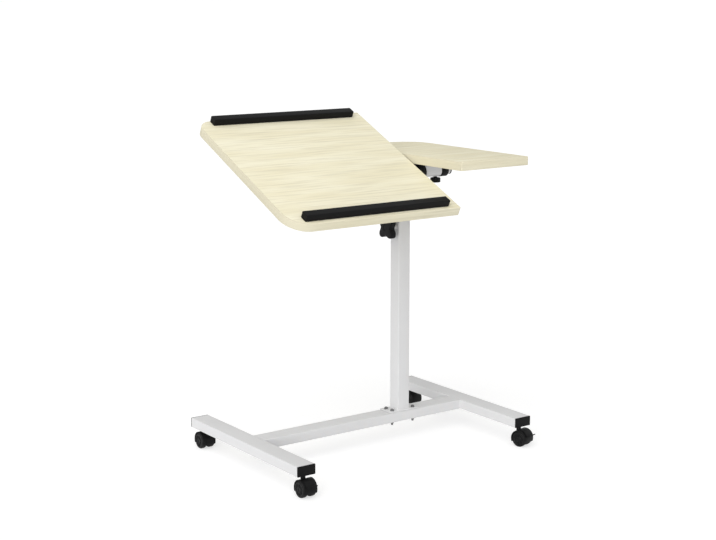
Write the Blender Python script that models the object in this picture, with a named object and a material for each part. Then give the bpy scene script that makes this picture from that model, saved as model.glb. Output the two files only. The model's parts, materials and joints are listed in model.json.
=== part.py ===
"""Mobile laptop table on an H base with casters, one named object for each piece.

The origin is on the floor under the column's axis: X to the user's right, Y to the back, Z up, in metres.
"""
import math

import bmesh
import bpy
from mathutils import Matrix

# General clearances and facets
GAP = 0.0003
WELD_DISTANCE = 0.000003
ROUND_SIDES = 22
SMALL_SIDES = 12
CORNER_STEPS = 2
SHARP_ANGLE = math.radians(32)
EMPTY_SIZE = 0.03

# H base
FOOT_TUBE_WIDTH = 0.050
FOOT_TUBE_HEIGHT = 0.025
BASE_WALL = 0.002
TUBE_CORNER = 0.0012
FOOT_TUBE_LENGTH = 0.494
FOOT_SPACING = 0.674
COLUMN_TO_RIGHT_FOOT = 0.212
CAP_FLANGE = 0.003
CAP_PLUG_DEPTH = 0.007
CAP_PLUG_WALL = 0.002

# Casters
WHEEL_DIAMETER = 0.040
WHEEL_WIDTH = 0.0137
WHEEL_EDGE = 0.003
WHEEL_FACE_SHARE = 0.72
WHEEL_DISH_SHARE = 0.66
WHEEL_HUB_SHARE = 0.36
WHEEL_HUB_TAPER = 0.0009
WHEEL_BORE_DEPTH = 0.009
CASTER_TRAIL = 0.011
AXLE_DIAMETER = 0.006
HOOD_WALL = 0.0014
HOOD_WEB = 0.009
WHEEL_CLEARANCE = 0.0008
HOOD_SKIRT = 0.008
NECK_HEIGHT = 0.0075
STEM_DIAMETER = 0.007
STEM_COLLAR_DIAMETER = 0.012
STEM_COLLAR = 0.002
STEM_IN_HOOD = 0.014
STEM_IN_FOOT = 0.014
STEM_INSET = 0.013
SOCKET_DIAMETER = 0.012
SOCKET_FLOOR = 0.003
PEDAL_WIDTH = 0.027
PEDAL_THICKNESS = 0.002
PEDAL_LIP = 0.010
PEDAL_START = math.radians(112)
PEDAL_END = math.radians(155)
PEDAL_STEPS = 6
FRONT_LEFT_HEADING = math.radians(0)
FRONT_RIGHT_HEADING = math.radians(15)
REAR_LEFT_HEADING = math.radians(0)
REAR_RIGHT_HEADING = math.radians(10)

# Column
COLUMN_SIDE = 0.036
COLUMN_WALL = 0.0015
COLUMN_LENGTH = 0.510
BUSH_WALL = 0.0014
BUSH_FLANGE = 0.003
BUSH_DEPTH = 0.018
FLANGE_THICKNESS = 0.003
FLANGE_MARGIN = 0.0285
FLANGE_SIDE_INSET = 0.001
BOLT_DIAMETER = 0.006
BOLT_OFFSET = 0.016
BOLT_EDGE = 0.012
HEX_ACROSS_FLATS = 0.010
HEX_CHAMFER = 0.0005
BOLT_HEAD = 0.004
WASHER_DIAMETER = 0.012
WASHER_THICKNESS = 0.0012
NUT_HEIGHT = 0.005
BOLT_PROTRUSION = 0.004
INNER_LENGTH = 0.420
GLIDE_HEIGHT = 0.012
GLIDE_EDGE = 0.0012
GLIDE_PLUG = 0.015

# Column clamp
KNOB_BELOW_COLUMN_TOP = 0.0252
STUD_DIAMETER = 0.008
BOSS_DIAMETER = 0.018
BOSS_LENGTH = 0.010
KNOB_MEAN_RADIUS = 0.0265
KNOB_LOBE = 0.0065
KNOB_BODY = 0.017
KNOB_HUB_DIAMETER = 0.022
KNOB_HUB = 0.004
KNOB_EDGE = 0.003
KNOB_LOBES = 4
KNOB_LOBE_SIDES = 10
KNOB_PHASE = math.radians(45)
KNOB_BORE_DEPTH = 0.014

# Tilt head
COLUMN_EXTENSION = 0.108
CROSS_TUBE_DIAMETER = 0.025
CROSS_TUBE_WALL = 0.0015
CROSS_TUBE_RIGHT = 0.151
CROSS_TUBE_LEFT = 0.280
INNER_TOP_DROP = 0.006
SLEEVE_WALL = 0.0022
SLEEVE_LENGTH = 0.056
SLEEVE_START = 0.068
FAR_SLEEVE_START = 0.195
HUB_DIAMETER = 0.046
COLLAR_DIAMETER = 0.033
COLLAR_EDGE = 0.0008
COLLAR_TO_COLUMN = 0.005
OUTER_COLLAR_LENGTH = 0.022
PLATE_THICKNESS = 0.003
PLATE_STANDOFF = 0.0117
PLATE_DEPTH = 0.160
PLATE_MARGIN = 0.030
CHEEK_THICKNESS = 0.003
CHEEK_INSET = 0.002
PLATE_HOLE_DIAMETER = 0.005
PLATE_HOLE_INSET = 0.012
END_CAP_FLANGE = 0.008
END_CAP_EDGE = 0.002
END_CAP_PLUG = 0.010
LOCK_INSET = 0.010
LOCK_STUD_DIAMETER = 0.006
LOCK_KNOB_RADIUS = 0.0125
LOCK_KNOB_SCALLOP = 0.0008
LOCK_KNOB_LOBES = 8
LOCK_KNOB_HEIGHT = 0.012
LOCK_KNOB_NECK = 0.0034
LOCK_KNOB_BORE = 0.009
LOCK_KNOB_EDGE = 0.0015

# Tops
TOP_DEPTH = 0.478
TOP_THICKNESS = 0.022
MAIN_TOP_WIDTH = 0.488
SIDE_TOP_WIDTH = 0.218
SEAM_GAP = 0.006
MAIN_FRONT_RADIUS = 0.060
MAIN_REAR_RADIUS = 0.040
SIDE_REAR_RADIUS = 0.080
SQUARE_CORNER_RADIUS = 0.002
TOP_EDGE = 0.001
TOP_CORNER_STEPS = 10
MAIN_TILT = math.radians(25)
MAIN_TOP_FORWARD = 0.009
BAR_LENGTH = 0.418
BAR_WIDTH = 0.022
BAR_HEIGHT = 0.0175
BAR_EDGE = 0.0025
BAR_END_INSET = 0.032
FRONT_BAR_INSET = 0.009
REAR_BAR_INSET = 0.003

# Heights and places worked out from the sizes above
HOOD_RADIUS = WHEEL_DIAMETER / 2 + WHEEL_CLEARANCE + HOOD_WALL
HOOD_TOP = WHEEL_DIAMETER / 2 + HOOD_RADIUS
NECK_TOP = HOOD_TOP + NECK_HEIGHT
FOOT_BOTTOM = NECK_TOP + STEM_COLLAR + 2 * GAP
FOOT_TOP = FOOT_BOTTOM + FOOT_TUBE_HEIGHT
RIGHT_FOOT_X = COLUMN_TO_RIGHT_FOOT
LEFT_FOOT_X = RIGHT_FOOT_X - FOOT_SPACING
STEM_Y = FOOT_TUBE_LENGTH / 2 - STEM_INSET
FLANGE_BOTTOM = FOOT_TOP + GAP
FLANGE_TOP = FLANGE_BOTTOM + FLANGE_THICKNESS
COLUMN_TOP = FLANGE_TOP + COLUMN_LENGTH
BUSH_TOP = COLUMN_TOP + GAP + BUSH_FLANGE
COLUMN_HOLLOW = COLUMN_SIDE - 2 * COLUMN_WALL
INNER_SIDE = COLUMN_HOLLOW - 2 * (BUSH_WALL + 2 * GAP)
CROSS_RADIUS = CROSS_TUBE_DIAMETER / 2
AXIS_Z = BUSH_TOP + COLUMN_EXTENSION
INNER_TOP = AXIS_Z - INNER_TOP_DROP
INNER_BOTTOM = INNER_TOP - INNER_LENGTH
BOLT_X = COLUMN_SIDE / 2 + BOLT_OFFSET
BOLT_Y = FOOT_TUBE_WIDTH / 2 - BOLT_EDGE
KNOB_Z = COLUMN_TOP - KNOB_BELOW_COLUMN_TOP
SLEEVE_RADIUS = CROSS_RADIUS + GAP + SLEEVE_WALL
LOCK_X = SLEEVE_START + SLEEVE_LENGTH - LOCK_INSET
PLATE_BOTTOM = SLEEVE_RADIUS + PLATE_STANDOFF
TOP_UNDERSIDE = PLATE_BOTTOM + PLATE_THICKNESS + GAP
MAIN_RIGHT_X = -SEAM_GAP / 2
SIDE_LEFT_X = SEAM_GAP / 2


def srgb(red, green, blue):
    """Linear colour from 8-bit sRGB values."""
    def linear(value):
        value /= 255
        return value / 12.92 if value <= 0.04045 else ((value + 0.055) / 1.055) ** 2.4
    return (linear(red), linear(green), linear(blue), 1.0)


def material(name, colour, roughness, metallic=0.0):
    """Principled material with one colour."""
    made = bpy.data.materials.new(name)
    made.use_nodes = True
    shader = made.node_tree.nodes["Principled BSDF"]
    shader.inputs["Base Color"].default_value = colour
    shader.inputs["Roughness"].default_value = roughness
    shader.inputs["Metallic"].default_value = metallic
    made.diffuse_color = colour
    return made


def rounded_outline(low, high, radii, steps, inset=0.0):
    """Closed outline of a rectangle with a radius for each corner, anticlockwise from the lower right."""
    signs = ((1, -1), (1, 1), (-1, 1), (-1, -1))
    points = []
    for index, (side_u, side_v) in enumerate(signs):
        radius = max(radii[index] - inset, inset / 4, GAP)
        edge_u = (high[0] if side_u > 0 else low[0]) - side_u * inset
        edge_v = (high[1] if side_v > 0 else low[1]) - side_v * inset
        centre = (edge_u - side_u * radius, edge_v - side_v * radius)
        start = -math.pi / 2 + index * math.pi / 2
        for step in range(steps[index] + 1):
            angle = start + step / steps[index] * math.pi / 2
            points.append((centre[0] + radius * math.cos(angle), centre[1] + radius * math.sin(angle)))
    return points


def box_outline(width, height, radius, inset=0.0, steps=CORNER_STEPS):
    """Centred rounded rectangle."""
    low, high = (-width / 2, -height / 2), (width / 2, height / 2)
    return rounded_outline(low, high, (radius,) * 4, (steps,) * 4, inset)


def circle_outline(radius, sides=ROUND_SIDES):
    """Regular polygon with a corner on the first axis."""
    turns = [i * math.tau / sides for i in range(sides)]
    return [(radius * math.cos(turn), radius * math.sin(turn)) for turn in turns]


def hexagon_outline(across_flats):
    """Hexagon with a point at each corner and at the middle of each side."""
    radii = (across_flats / math.sqrt(3), across_flats / 2)
    turns = [i * math.tau / 12 for i in range(12)]
    return [(radii[i % 2] * math.cos(turn), radii[i % 2] * math.sin(turn)) for i, turn in enumerate(turns)]


def lobed_outline(mean, lobe, lobes, sides, phase):
    """Smooth outline whose radius swells at each lobe."""
    points = []
    for i in range(sides):
        angle = i * math.tau / sides
        radius = mean + lobe * math.cos(lobes * (angle - phase))
        points.append((radius * math.cos(angle), radius * math.sin(angle)))
    return points


def loop(outline, along, place, centre=(0.0, 0.0)):
    """Outline set at a place along one axis. X holds (y, z), Y holds (x, z) and Z holds (x, y)."""
    made = []
    for u, v in outline:
        u, v = u + centre[0], v + centre[1]
        made.append({"X": (place, u, v), "Y": (u, place, v), "Z": (u, v, place)}[along])
    return made


def loft(loops, ring=False):
    """Solid through loops of equal length, capped at both ends, or closed on itself as a ring."""
    bm = bmesh.new()
    rows = [[bm.verts.new(point) for point in points] for points in loops]
    pairs = list(zip(rows, rows[1:])) + ([(rows[-1], rows[0])] if ring else [])
    for first, second in pairs:
        for i in range(len(first)):
            j = (i + 1) % len(first)
            bm.faces.new((first[i], first[j], second[j], second[i]))
    if not ring:
        bm.faces.new(rows[0])
        bm.faces.new(rows[-1])
    bmesh.ops.recalc_face_normals(bm, faces=bm.faces)
    return bm


def turned(profile, along, sides=ROUND_SIDES, ring=False, centre=(0.0, 0.0)):
    """Turned solid from (place, radius) pairs."""
    loops = [loop(circle_outline(radius, sides), along, place, centre) for place, radius in profile]
    return loft(loops, ring)


def block(low, high):
    """Plain block between two corners."""
    outline = [(high[0], low[1]), (high[0], high[1]), (low[0], high[1]), (low[0], low[1])]
    return loft([loop(outline, "Z", low[2]), loop(outline, "Z", high[2])])


def shaped(bm, operation, tools):
    """Join or cut a solid with each of the tools by an exact Boolean."""
    def temporary(shape):
        mesh = bpy.data.meshes.new("temporary")
        shape.to_mesh(mesh)
        shape.free()
        made = bpy.data.objects.new("temporary", mesh)
        bpy.context.collection.objects.link(made)
        return made
    target = temporary(bm)
    helpers = [temporary(tool) for tool in tools]
    for helper in helpers:
        modifier = target.modifiers.new("shape", "BOOLEAN")
        modifier.operation = operation
        modifier.solver = "EXACT"
        modifier.object = helper
    graph = bpy.context.evaluated_depsgraph_get()
    result = bmesh.new()
    result.from_mesh(target.evaluated_get(graph).to_mesh())
    for used in [target] + helpers:
        mesh = used.data
        bpy.data.objects.remove(used)
        bpy.data.meshes.remove(mesh)
    return result


def mirrored(bm):
    """Shape turned end for end along X, with its faces outwards."""
    bmesh.ops.transform(bm, matrix=Matrix.Scale(-1, 4, (1, 0, 0)), verts=bm.verts)
    bmesh.ops.reverse_faces(bm, faces=bm.faces)
    return bm


def empty(name, location, rotation=(0.0, 0.0, 0.0), parent=None):
    """Empty that carries the pieces of one moving group."""
    made = bpy.data.objects.new(name, None)
    made.location = location
    made.rotation_euler = rotation
    made.parent = parent
    made.empty_display_size = EMPTY_SIZE
    bpy.context.collection.objects.link(made)
    return made


def piece(name, bm, finish, parent=None, location=(0.0, 0.0, 0.0), rotation=(0.0, 0.0, 0.0)):
    """Named object from a shape, smooth over its round faces."""
    bmesh.ops.remove_doubles(bm, verts=bm.verts, dist=WELD_DISTANCE)
    mesh = bpy.data.meshes.new(name)
    bm.to_mesh(mesh)
    bm.free()
    mesh.shade_smooth()
    mesh.set_sharp_from_angle(angle=SHARP_ANGLE)
    mesh.materials.append(finish)
    made = bpy.data.objects.new(name, mesh)
    made.parent = parent
    made.location = location
    made.rotation_euler = rotation
    bpy.context.collection.objects.link(made)
    return made


def box_tube(width, height, wall, corner, along, start, end, centre=(0.0, 0.0)):
    """Open rectangular tube with rounded edges."""
    outer = box_outline(width, height, corner)
    inner = box_outline(width, height, corner, wall)
    return loft([loop(outer, along, start, centre), loop(outer, along, end, centre),
                 loop(inner, along, end, centre), loop(inner, along, start, centre)], ring=True)


def make_foot(name, x, finish):
    """Rectangular tube along Y with a hole for a caster stem near each end."""
    half = FOOT_TUBE_LENGTH / 2
    middle = FOOT_BOTTOM + FOOT_TUBE_HEIGHT / 2
    tube = box_tube(FOOT_TUBE_WIDTH, FOOT_TUBE_HEIGHT, BASE_WALL, TUBE_CORNER, "Y", -half, half, (x, middle))
    reach = FOOT_BOTTOM + BASE_WALL + STEM_IN_FOOT / 2
    profile = ((FOOT_BOTTOM - BASE_WALL, STEM_DIAMETER / 2 + GAP), (reach, STEM_DIAMETER / 2 + GAP))
    holes = [turned(profile, "Z", SMALL_SIDES, centre=(x, side * STEM_Y)) for side in (-1, 1)]
    piece(name, shaped(tube, "DIFFERENCE", holes), finish)


def make_foot_cap(name, x, side, finish):
    """Moulded end cap: a flange over the tube's end and a hollow plug inside it."""
    width, height = FOOT_TUBE_WIDTH, FOOT_TUBE_HEIGHT
    plug_inset = BASE_WALL + GAP
    core_inset = plug_inset + CAP_PLUG_WALL
    face = FOOT_TUBE_LENGTH / 2 + GAP
    edge = CAP_FLANGE / 3
    plug_end = face - CAP_PLUG_DEPTH
    steps = ((edge, face + CAP_FLANGE), (0.0, face + CAP_FLANGE - edge), (0.0, face), (plug_inset, face),
             (plug_inset, plug_end), (core_inset, plug_end), (core_inset, face + edge))
    middle = FOOT_BOTTOM + height / 2
    loops = [loop(box_outline(width, height, TUBE_CORNER, inset), "Y", side * place, (x, middle))
             for inset, place in steps]
    piece(name, loft(loops), finish)


def make_spreader(finish):
    """Rectangular tube along X, welded between the feet, drilled for the flange bolts."""
    start = LEFT_FOOT_X + FOOT_TUBE_WIDTH / 2 + GAP
    end = RIGHT_FOOT_X - FOOT_TUBE_WIDTH / 2 - GAP
    middle = FOOT_BOTTOM + FOOT_TUBE_HEIGHT / 2
    tube = box_tube(FOOT_TUBE_WIDTH, FOOT_TUBE_HEIGHT, BASE_WALL, TUBE_CORNER, "X", start, end, (0.0, middle))
    piece("spreader_bar", shaped(tube, "DIFFERENCE", bolt_holes()), finish)


def bolt_places():
    """Names and centres of the four flange bolts."""
    return [(f"{depth}_{hand}", x, y) for depth, y in (("front", -BOLT_Y), ("rear", BOLT_Y))
            for hand, x in (("left", -BOLT_X), ("right", BOLT_X))]


def bolt_holes():
    """Round cutters through the spreader and the flange."""
    radius = BOLT_DIAMETER / 2 + GAP
    profile = ((FOOT_BOTTOM - BASE_WALL, radius), (FLANGE_TOP + BASE_WALL, radius))
    return [turned(profile, "Z", SMALL_SIDES, centre=(x, y)) for _, x, y in bolt_places()]


def make_flange_bolts(finish):
    """Hexagon bolts with a washer face, and their nuts under the spreader."""
    hexagon = hexagon_outline(HEX_ACROSS_FLATS)
    shank = circle_outline(BOLT_DIAMETER / 2, SMALL_SIDES)
    washer = circle_outline(WASHER_DIAMETER / 2, SMALL_SIDES)
    chamfer = circle_outline(HEX_ACROSS_FLATS / 2 - HEX_CHAMFER, SMALL_SIDES)
    hole = circle_outline(BOLT_DIAMETER / 2 + GAP, SMALL_SIDES)
    seat = FLANGE_TOP + GAP
    head = seat + WASHER_THICKNESS
    nut_top = FOOT_BOTTOM - GAP
    nut_bottom = nut_top - NUT_HEIGHT
    tip = nut_bottom - BOLT_PROTRUSION
    crown = BOLT_HEAD / 5
    for place, x, y in bolt_places():
        steps = ((chamfer, head + BOLT_HEAD), (hexagon, head + BOLT_HEAD - crown), (hexagon, head),
                 (washer, head), (washer, seat), (shank, seat), (shank, tip))
        bolt = loft([loop(outline, "Z", z, (x, y)) for outline, z in steps])
        piece(f"{place}_flange_bolt", bolt, finish)
        rows = ((hole, nut_top), (hexagon, nut_top), (hexagon, nut_bottom + crown), (chamfer, nut_bottom),
                (hole, nut_bottom))
        nut = loft([loop(outline, "Z", z, (x, y)) for outline, z in rows], ring=True)
        piece(f"{place}_flange_nut", nut, finish)


def make_outer_column(finish):
    """Square tube on a welded flange, with a threaded boss for the clamp knob on its left face."""
    plate = box_outline(COLUMN_SIDE + 2 * FLANGE_MARGIN, FOOT_TUBE_WIDTH - 2 * FLANGE_SIDE_INSET, TUBE_CORNER)
    outer = box_outline(COLUMN_SIDE, COLUMN_SIDE, TUBE_CORNER)
    inner = box_outline(COLUMN_SIDE, COLUMN_SIDE, TUBE_CORNER, COLUMN_WALL)
    rows = ((plate, FLANGE_BOTTOM), (plate, FLANGE_TOP), (outer, FLANGE_TOP), (outer, COLUMN_TOP),
            (inner, COLUMN_TOP), (inner, FLANGE_TOP))
    column = loft([loop(outline, "Z", z) for outline, z in rows])
    wall = -COLUMN_SIDE / 2
    boss = turned(((wall - BOSS_LENGTH, BOSS_DIAMETER / 2), (wall + COLUMN_WALL / 2, BOSS_DIAMETER / 2)), "X",
                  SMALL_SIDES, centre=(0.0, KNOB_Z))
    bore_radius = STUD_DIAMETER / 2 + GAP
    bore = turned(((wall - 2 * BOSS_LENGTH, bore_radius), (wall + 2 * COLUMN_WALL, bore_radius)), "X",
                  SMALL_SIDES, centre=(0.0, KNOB_Z))
    column = shaped(column, "UNION", [boss])
    piece("outer_column", shaped(column, "DIFFERENCE", [bore] + bolt_holes()), finish)


def make_column_bush(finish):
    """Flanged nylon guide in the mouth of the outer column."""
    flange = box_outline(COLUMN_SIDE, COLUMN_SIDE, TUBE_CORNER)
    lip = box_outline(COLUMN_SIDE, COLUMN_SIDE, TUBE_CORNER, BUSH_FLANGE / 4)
    sleeve = box_outline(COLUMN_SIDE, COLUMN_SIDE, TUBE_CORNER, COLUMN_WALL + GAP)
    mouth = box_outline(INNER_SIDE + 2 * GAP, INNER_SIDE + 2 * GAP, TUBE_CORNER)
    seat = COLUMN_TOP + GAP
    low = COLUMN_TOP - BUSH_DEPTH
    rows = ((sleeve, low), (sleeve, seat), (flange, seat), (flange, BUSH_TOP - BUSH_FLANGE / 4),
            (lip, BUSH_TOP), (mouth, BUSH_TOP), (mouth, low))
    piece("column_bush", loft([loop(outline, "Z", z) for outline, z in rows], ring=True), finish)


def make_inner_column(parent, steel, nylon):
    """Telescoping square tube with a saddle for the cross tube, and the glide in its foot."""
    top, bottom = INNER_TOP - AXIS_Z, INNER_BOTTOM - AXIS_Z
    tube = box_tube(INNER_SIDE, INNER_SIDE, COLUMN_WALL, TUBE_CORNER, "Z", bottom, top)
    reach = INNER_SIDE
    saddle = turned(((-reach, CROSS_RADIUS + GAP), (reach, CROSS_RADIUS + GAP)), "X")
    piece("inner_column", shaped(tube, "DIFFERENCE", [saddle]), steel, parent)
    slider = box_outline(COLUMN_HOLLOW - 2 * GAP, COLUMN_HOLLOW - 2 * GAP, TUBE_CORNER)
    lead = box_outline(COLUMN_HOLLOW - 2 * GAP, COLUMN_HOLLOW - 2 * GAP, TUBE_CORNER, GLIDE_EDGE)
    plug = box_outline(INNER_SIDE, INNER_SIDE, TUBE_CORNER, COLUMN_WALL + GAP)
    seat = bottom - GAP
    rows = ((lead, seat - GLIDE_HEIGHT), (slider, seat - GLIDE_HEIGHT + GLIDE_EDGE), (slider, seat),
            (plug, seat), (plug, seat + GLIDE_PLUG))
    piece("inner_glide", loft([loop(outline, "Z", z) for outline, z in rows]), nylon, parent)


def make_cross_tube(parent, steel, nylon):
    """Round tube across the inner column, with its collars and end caps."""
    bore = CROSS_RADIUS - CROSS_TUBE_WALL
    profile = ((-CROSS_TUBE_LEFT, CROSS_RADIUS), (CROSS_TUBE_RIGHT, CROSS_RADIUS), (CROSS_TUBE_RIGHT, bore),
               (-CROSS_TUBE_LEFT, bore))
    piece("cross_tube", turned(profile, "X", ring=True), steel, parent)
    near = INNER_SIDE / 2 + COLLAR_TO_COLUMN
    inner_end = SLEEVE_START - GAP
    side_outer = SLEEVE_START + SLEEVE_LENGTH + GAP
    main_outer = FAR_SLEEVE_START + SLEEVE_LENGTH + GAP
    hub, rim = HUB_DIAMETER / 2, COLLAR_DIAMETER / 2
    spans = (("side_inner_collar", near, inner_end, hub),
             ("side_outer_collar", side_outer, side_outer + OUTER_COLLAR_LENGTH, rim),
             ("main_inner_collar", -inner_end, -near, hub),
             ("main_outer_collar", -main_outer - OUTER_COLLAR_LENGTH, -main_outer, rim))
    hole = CROSS_RADIUS + GAP
    edge = COLLAR_EDGE
    for name, start, end, rim in spans:
        rows = ((start, rim - edge), (start + edge, rim), (end - edge, rim), (end, rim - edge),
                (end, hole), (start, hole))
        piece(name, turned(rows, "X", ring=True), nylon, parent)
    for name, end, side in (("side_end_cap", CROSS_TUBE_RIGHT, 1), ("main_end_cap", CROSS_TUBE_LEFT, -1)):
        face = end + GAP
        crown = face + END_CAP_FLANGE
        rows = ((face - END_CAP_PLUG, bore - GAP), (face, bore - GAP), (face, CROSS_RADIUS),
                (crown - END_CAP_EDGE, CROSS_RADIUS), (crown, CROSS_RADIUS - END_CAP_EDGE))
        piece(name, turned([(side * place, radius) for place, radius in rows], "X"), nylon, parent)


def make_bracket(sleeve_starts):
    """Clamp sleeves on two cheeks under a screw plate, built to the right of the column."""
    low = sleeve_starts[0] - PLATE_MARGIN
    high = sleeve_starts[-1] + SLEEVE_LENGTH + PLATE_MARGIN
    half_depth = PLATE_DEPTH / 2
    plate_top = PLATE_BOTTOM + PLATE_THICKNESS
    corners = (TUBE_CORNER,) * 4
    outline = rounded_outline((low, -half_depth), (high, half_depth), corners, (CORNER_STEPS,) * 4)
    plate = loft([loop(outline, "Z", PLATE_BOTTOM), loop(outline, "Z", plate_top)])
    joined = []
    for start in sleeve_starts:
        joined.append(turned(((start, SLEEVE_RADIUS), (start + SLEEVE_LENGTH, SLEEVE_RADIUS)), "X"))
        for side in (-1, 1):
            face = SLEEVE_RADIUS - GAP
            faces = sorted((side * face, side * (face - CHEEK_THICKNESS)))
            low_corner = (start + CHEEK_INSET, faces[0], 0.0)
            high_corner = (start + SLEEVE_LENGTH - CHEEK_INSET, faces[1], PLATE_BOTTOM + PLATE_THICKNESS / 2)
            joined.append(block(low_corner, high_corner))
    bracket = shaped(plate, "UNION", joined)
    bore = CROSS_RADIUS + GAP
    cutters = [turned(((sleeve_starts[0] - GAP, bore), (sleeve_starts[-1] + SLEEVE_LENGTH + GAP, bore)), "X")]
    stud_bore = LOCK_STUD_DIAMETER / 2 + GAP
    stud_hole = ((-2 * SLEEVE_RADIUS, stud_bore), (0.0, stud_bore))
    cutters.append(turned(stud_hole, "Z", SMALL_SIDES, centre=(LOCK_X, 0.0)))
    for x in (low + PLATE_HOLE_INSET, high - PLATE_HOLE_INSET):
        for y in (PLATE_HOLE_INSET - half_depth, half_depth - PLATE_HOLE_INSET):
            profile = ((PLATE_BOTTOM - PLATE_THICKNESS, PLATE_HOLE_DIAMETER / 2),
                       (plate_top + PLATE_THICKNESS, PLATE_HOLE_DIAMETER / 2))
            cutters.append(turned(profile, "Z", SMALL_SIDES, centre=(x, y)))
    return shaped(bracket, "DIFFERENCE", cutters)


def make_lock(prefix, knob_x, parent, plastic, steel):
    """Clamp knob on a stud that presses on the cross tube from below."""
    stud_top = -CROSS_RADIUS - GAP
    knob_top = -SLEEVE_RADIUS - LOCK_KNOB_NECK
    knob_bottom = knob_top - LOCK_KNOB_HEIGHT
    stud_bottom = knob_top - LOCK_KNOB_BORE + GAP
    radius = LOCK_STUD_DIAMETER / 2
    profile = ((stud_bottom, radius), (stud_top - radius / 3, radius), (stud_top, radius * 2 / 3))
    stud = turned(profile, "Z", SMALL_SIDES)
    piece(f"{prefix}_lock_stud", stud, steel, parent, (knob_x, 0.0, 0.0))
    sides = 4 * LOCK_KNOB_LOBES
    bore = circle_outline(radius + GAP, sides)

    def grip(inset):
        return lobed_outline(LOCK_KNOB_RADIUS - inset, LOCK_KNOB_SCALLOP, LOCK_KNOB_LOBES, sides, 0.0)
    edge = LOCK_KNOB_EDGE
    rows = ((bore, knob_top - LOCK_KNOB_BORE), (bore, knob_top), (grip(edge), knob_top),
            (grip(0.0), knob_top - edge), (grip(0.0), knob_bottom + edge), (grip(edge), knob_bottom))
    knob = loft([loop(outline, "Z", z) for outline, z in rows])
    piece(f"{prefix}_lock_knob", knob, plastic, parent, (knob_x, 0.0, 0.0))


def make_height_clamp(plastic, steel):
    """Lobed knob on a stud through the column's boss."""
    radius = STUD_DIAMETER / 2
    boss_face = -COLUMN_SIDE / 2 - BOSS_LENGTH
    knob_face = boss_face - 2 * GAP
    tip = -INNER_SIDE / 2 - GAP
    bore_end = knob_face - KNOB_BORE_DEPTH
    rows = ((bore_end + GAP, radius), (tip - radius / 3, radius), (tip, radius * 2 / 3))
    piece("height_stud", turned(rows, "X", SMALL_SIDES), steel, location=(0.0, 0.0, KNOB_Z))
    sides = KNOB_LOBE_SIDES * KNOB_LOBES

    def lobes(inset):
        return lobed_outline(KNOB_MEAN_RADIUS - inset, KNOB_LOBE, KNOB_LOBES, sides, KNOB_PHASE)
    bore = circle_outline(radius + GAP, sides)
    hub = circle_outline(KNOB_HUB_DIAMETER / 2, sides)
    body = knob_face - KNOB_HUB
    end = body - KNOB_BODY
    edge = KNOB_EDGE
    rows = ((bore, bore_end), (bore, knob_face), (hub, knob_face), (hub, body), (lobes(edge), body),
            (lobes(0.0), body - edge), (lobes(0.0), end + edge), (lobes(edge / 3), end + edge / 3),
            (lobes(edge), end))
    knob = loft([loop(outline, "X", x) for outline, x in rows])
    piece("height_knob", knob, plastic, location=(0.0, 0.0, KNOB_Z))


def make_top(name, low, high, radii, parent, finish):
    """Laminate board with softened edges."""
    steps = tuple(TOP_CORNER_STEPS if radius > SQUARE_CORNER_RADIUS else CORNER_STEPS for radius in radii)
    under, upper = TOP_UNDERSIDE, TOP_UNDERSIDE + TOP_THICKNESS
    rows = ((TOP_EDGE, under), (0.0, under + TOP_EDGE), (0.0, upper - TOP_EDGE), (TOP_EDGE, upper))
    loops = [loop(rounded_outline(low, high, radii, steps, inset), "Z", z) for inset, z in rows]
    piece(name, loft(loops), finish, parent)


def make_stop_bar(name, front, parent, finish):
    """Rubber bar along X on the main top."""
    right = MAIN_RIGHT_X - BAR_END_INSET
    left = right - BAR_LENGTH
    bottom = TOP_UNDERSIDE + TOP_THICKNESS + GAP
    centre = (front + BAR_WIDTH / 2, bottom + BAR_HEIGHT / 2)
    edge = BAR_EDGE / 2
    rows = ((edge, left), (0.0, left + edge), (0.0, right - edge), (edge, right))
    loops = [loop(box_outline(BAR_WIDTH, BAR_HEIGHT, BAR_EDGE, inset), "X", x, centre) for inset, x in rows]
    piece(name, loft(loops), finish, parent)


def make_tops(main, side, wood, rubber):
    """Main top with its stop bars, and the smaller side top."""
    square = SQUARE_CORNER_RADIUS
    half = TOP_DEPTH / 2
    front, back = -half - MAIN_TOP_FORWARD, half - MAIN_TOP_FORWARD
    make_top("main_top", (MAIN_RIGHT_X - MAIN_TOP_WIDTH, front), (MAIN_RIGHT_X, back),
             (square, square, MAIN_REAR_RADIUS, MAIN_FRONT_RADIUS), main, wood)
    make_top("side_top", (SIDE_LEFT_X, -half), (SIDE_LEFT_X + SIDE_TOP_WIDTH, half),
             (square, SIDE_REAR_RADIUS, square, square), side, wood)
    make_stop_bar("front_stop_bar", front + FRONT_BAR_INSET, main, rubber)
    make_stop_bar("rear_stop_bar", back - REAR_BAR_INSET - BAR_WIDTH, main, rubber)


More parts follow.
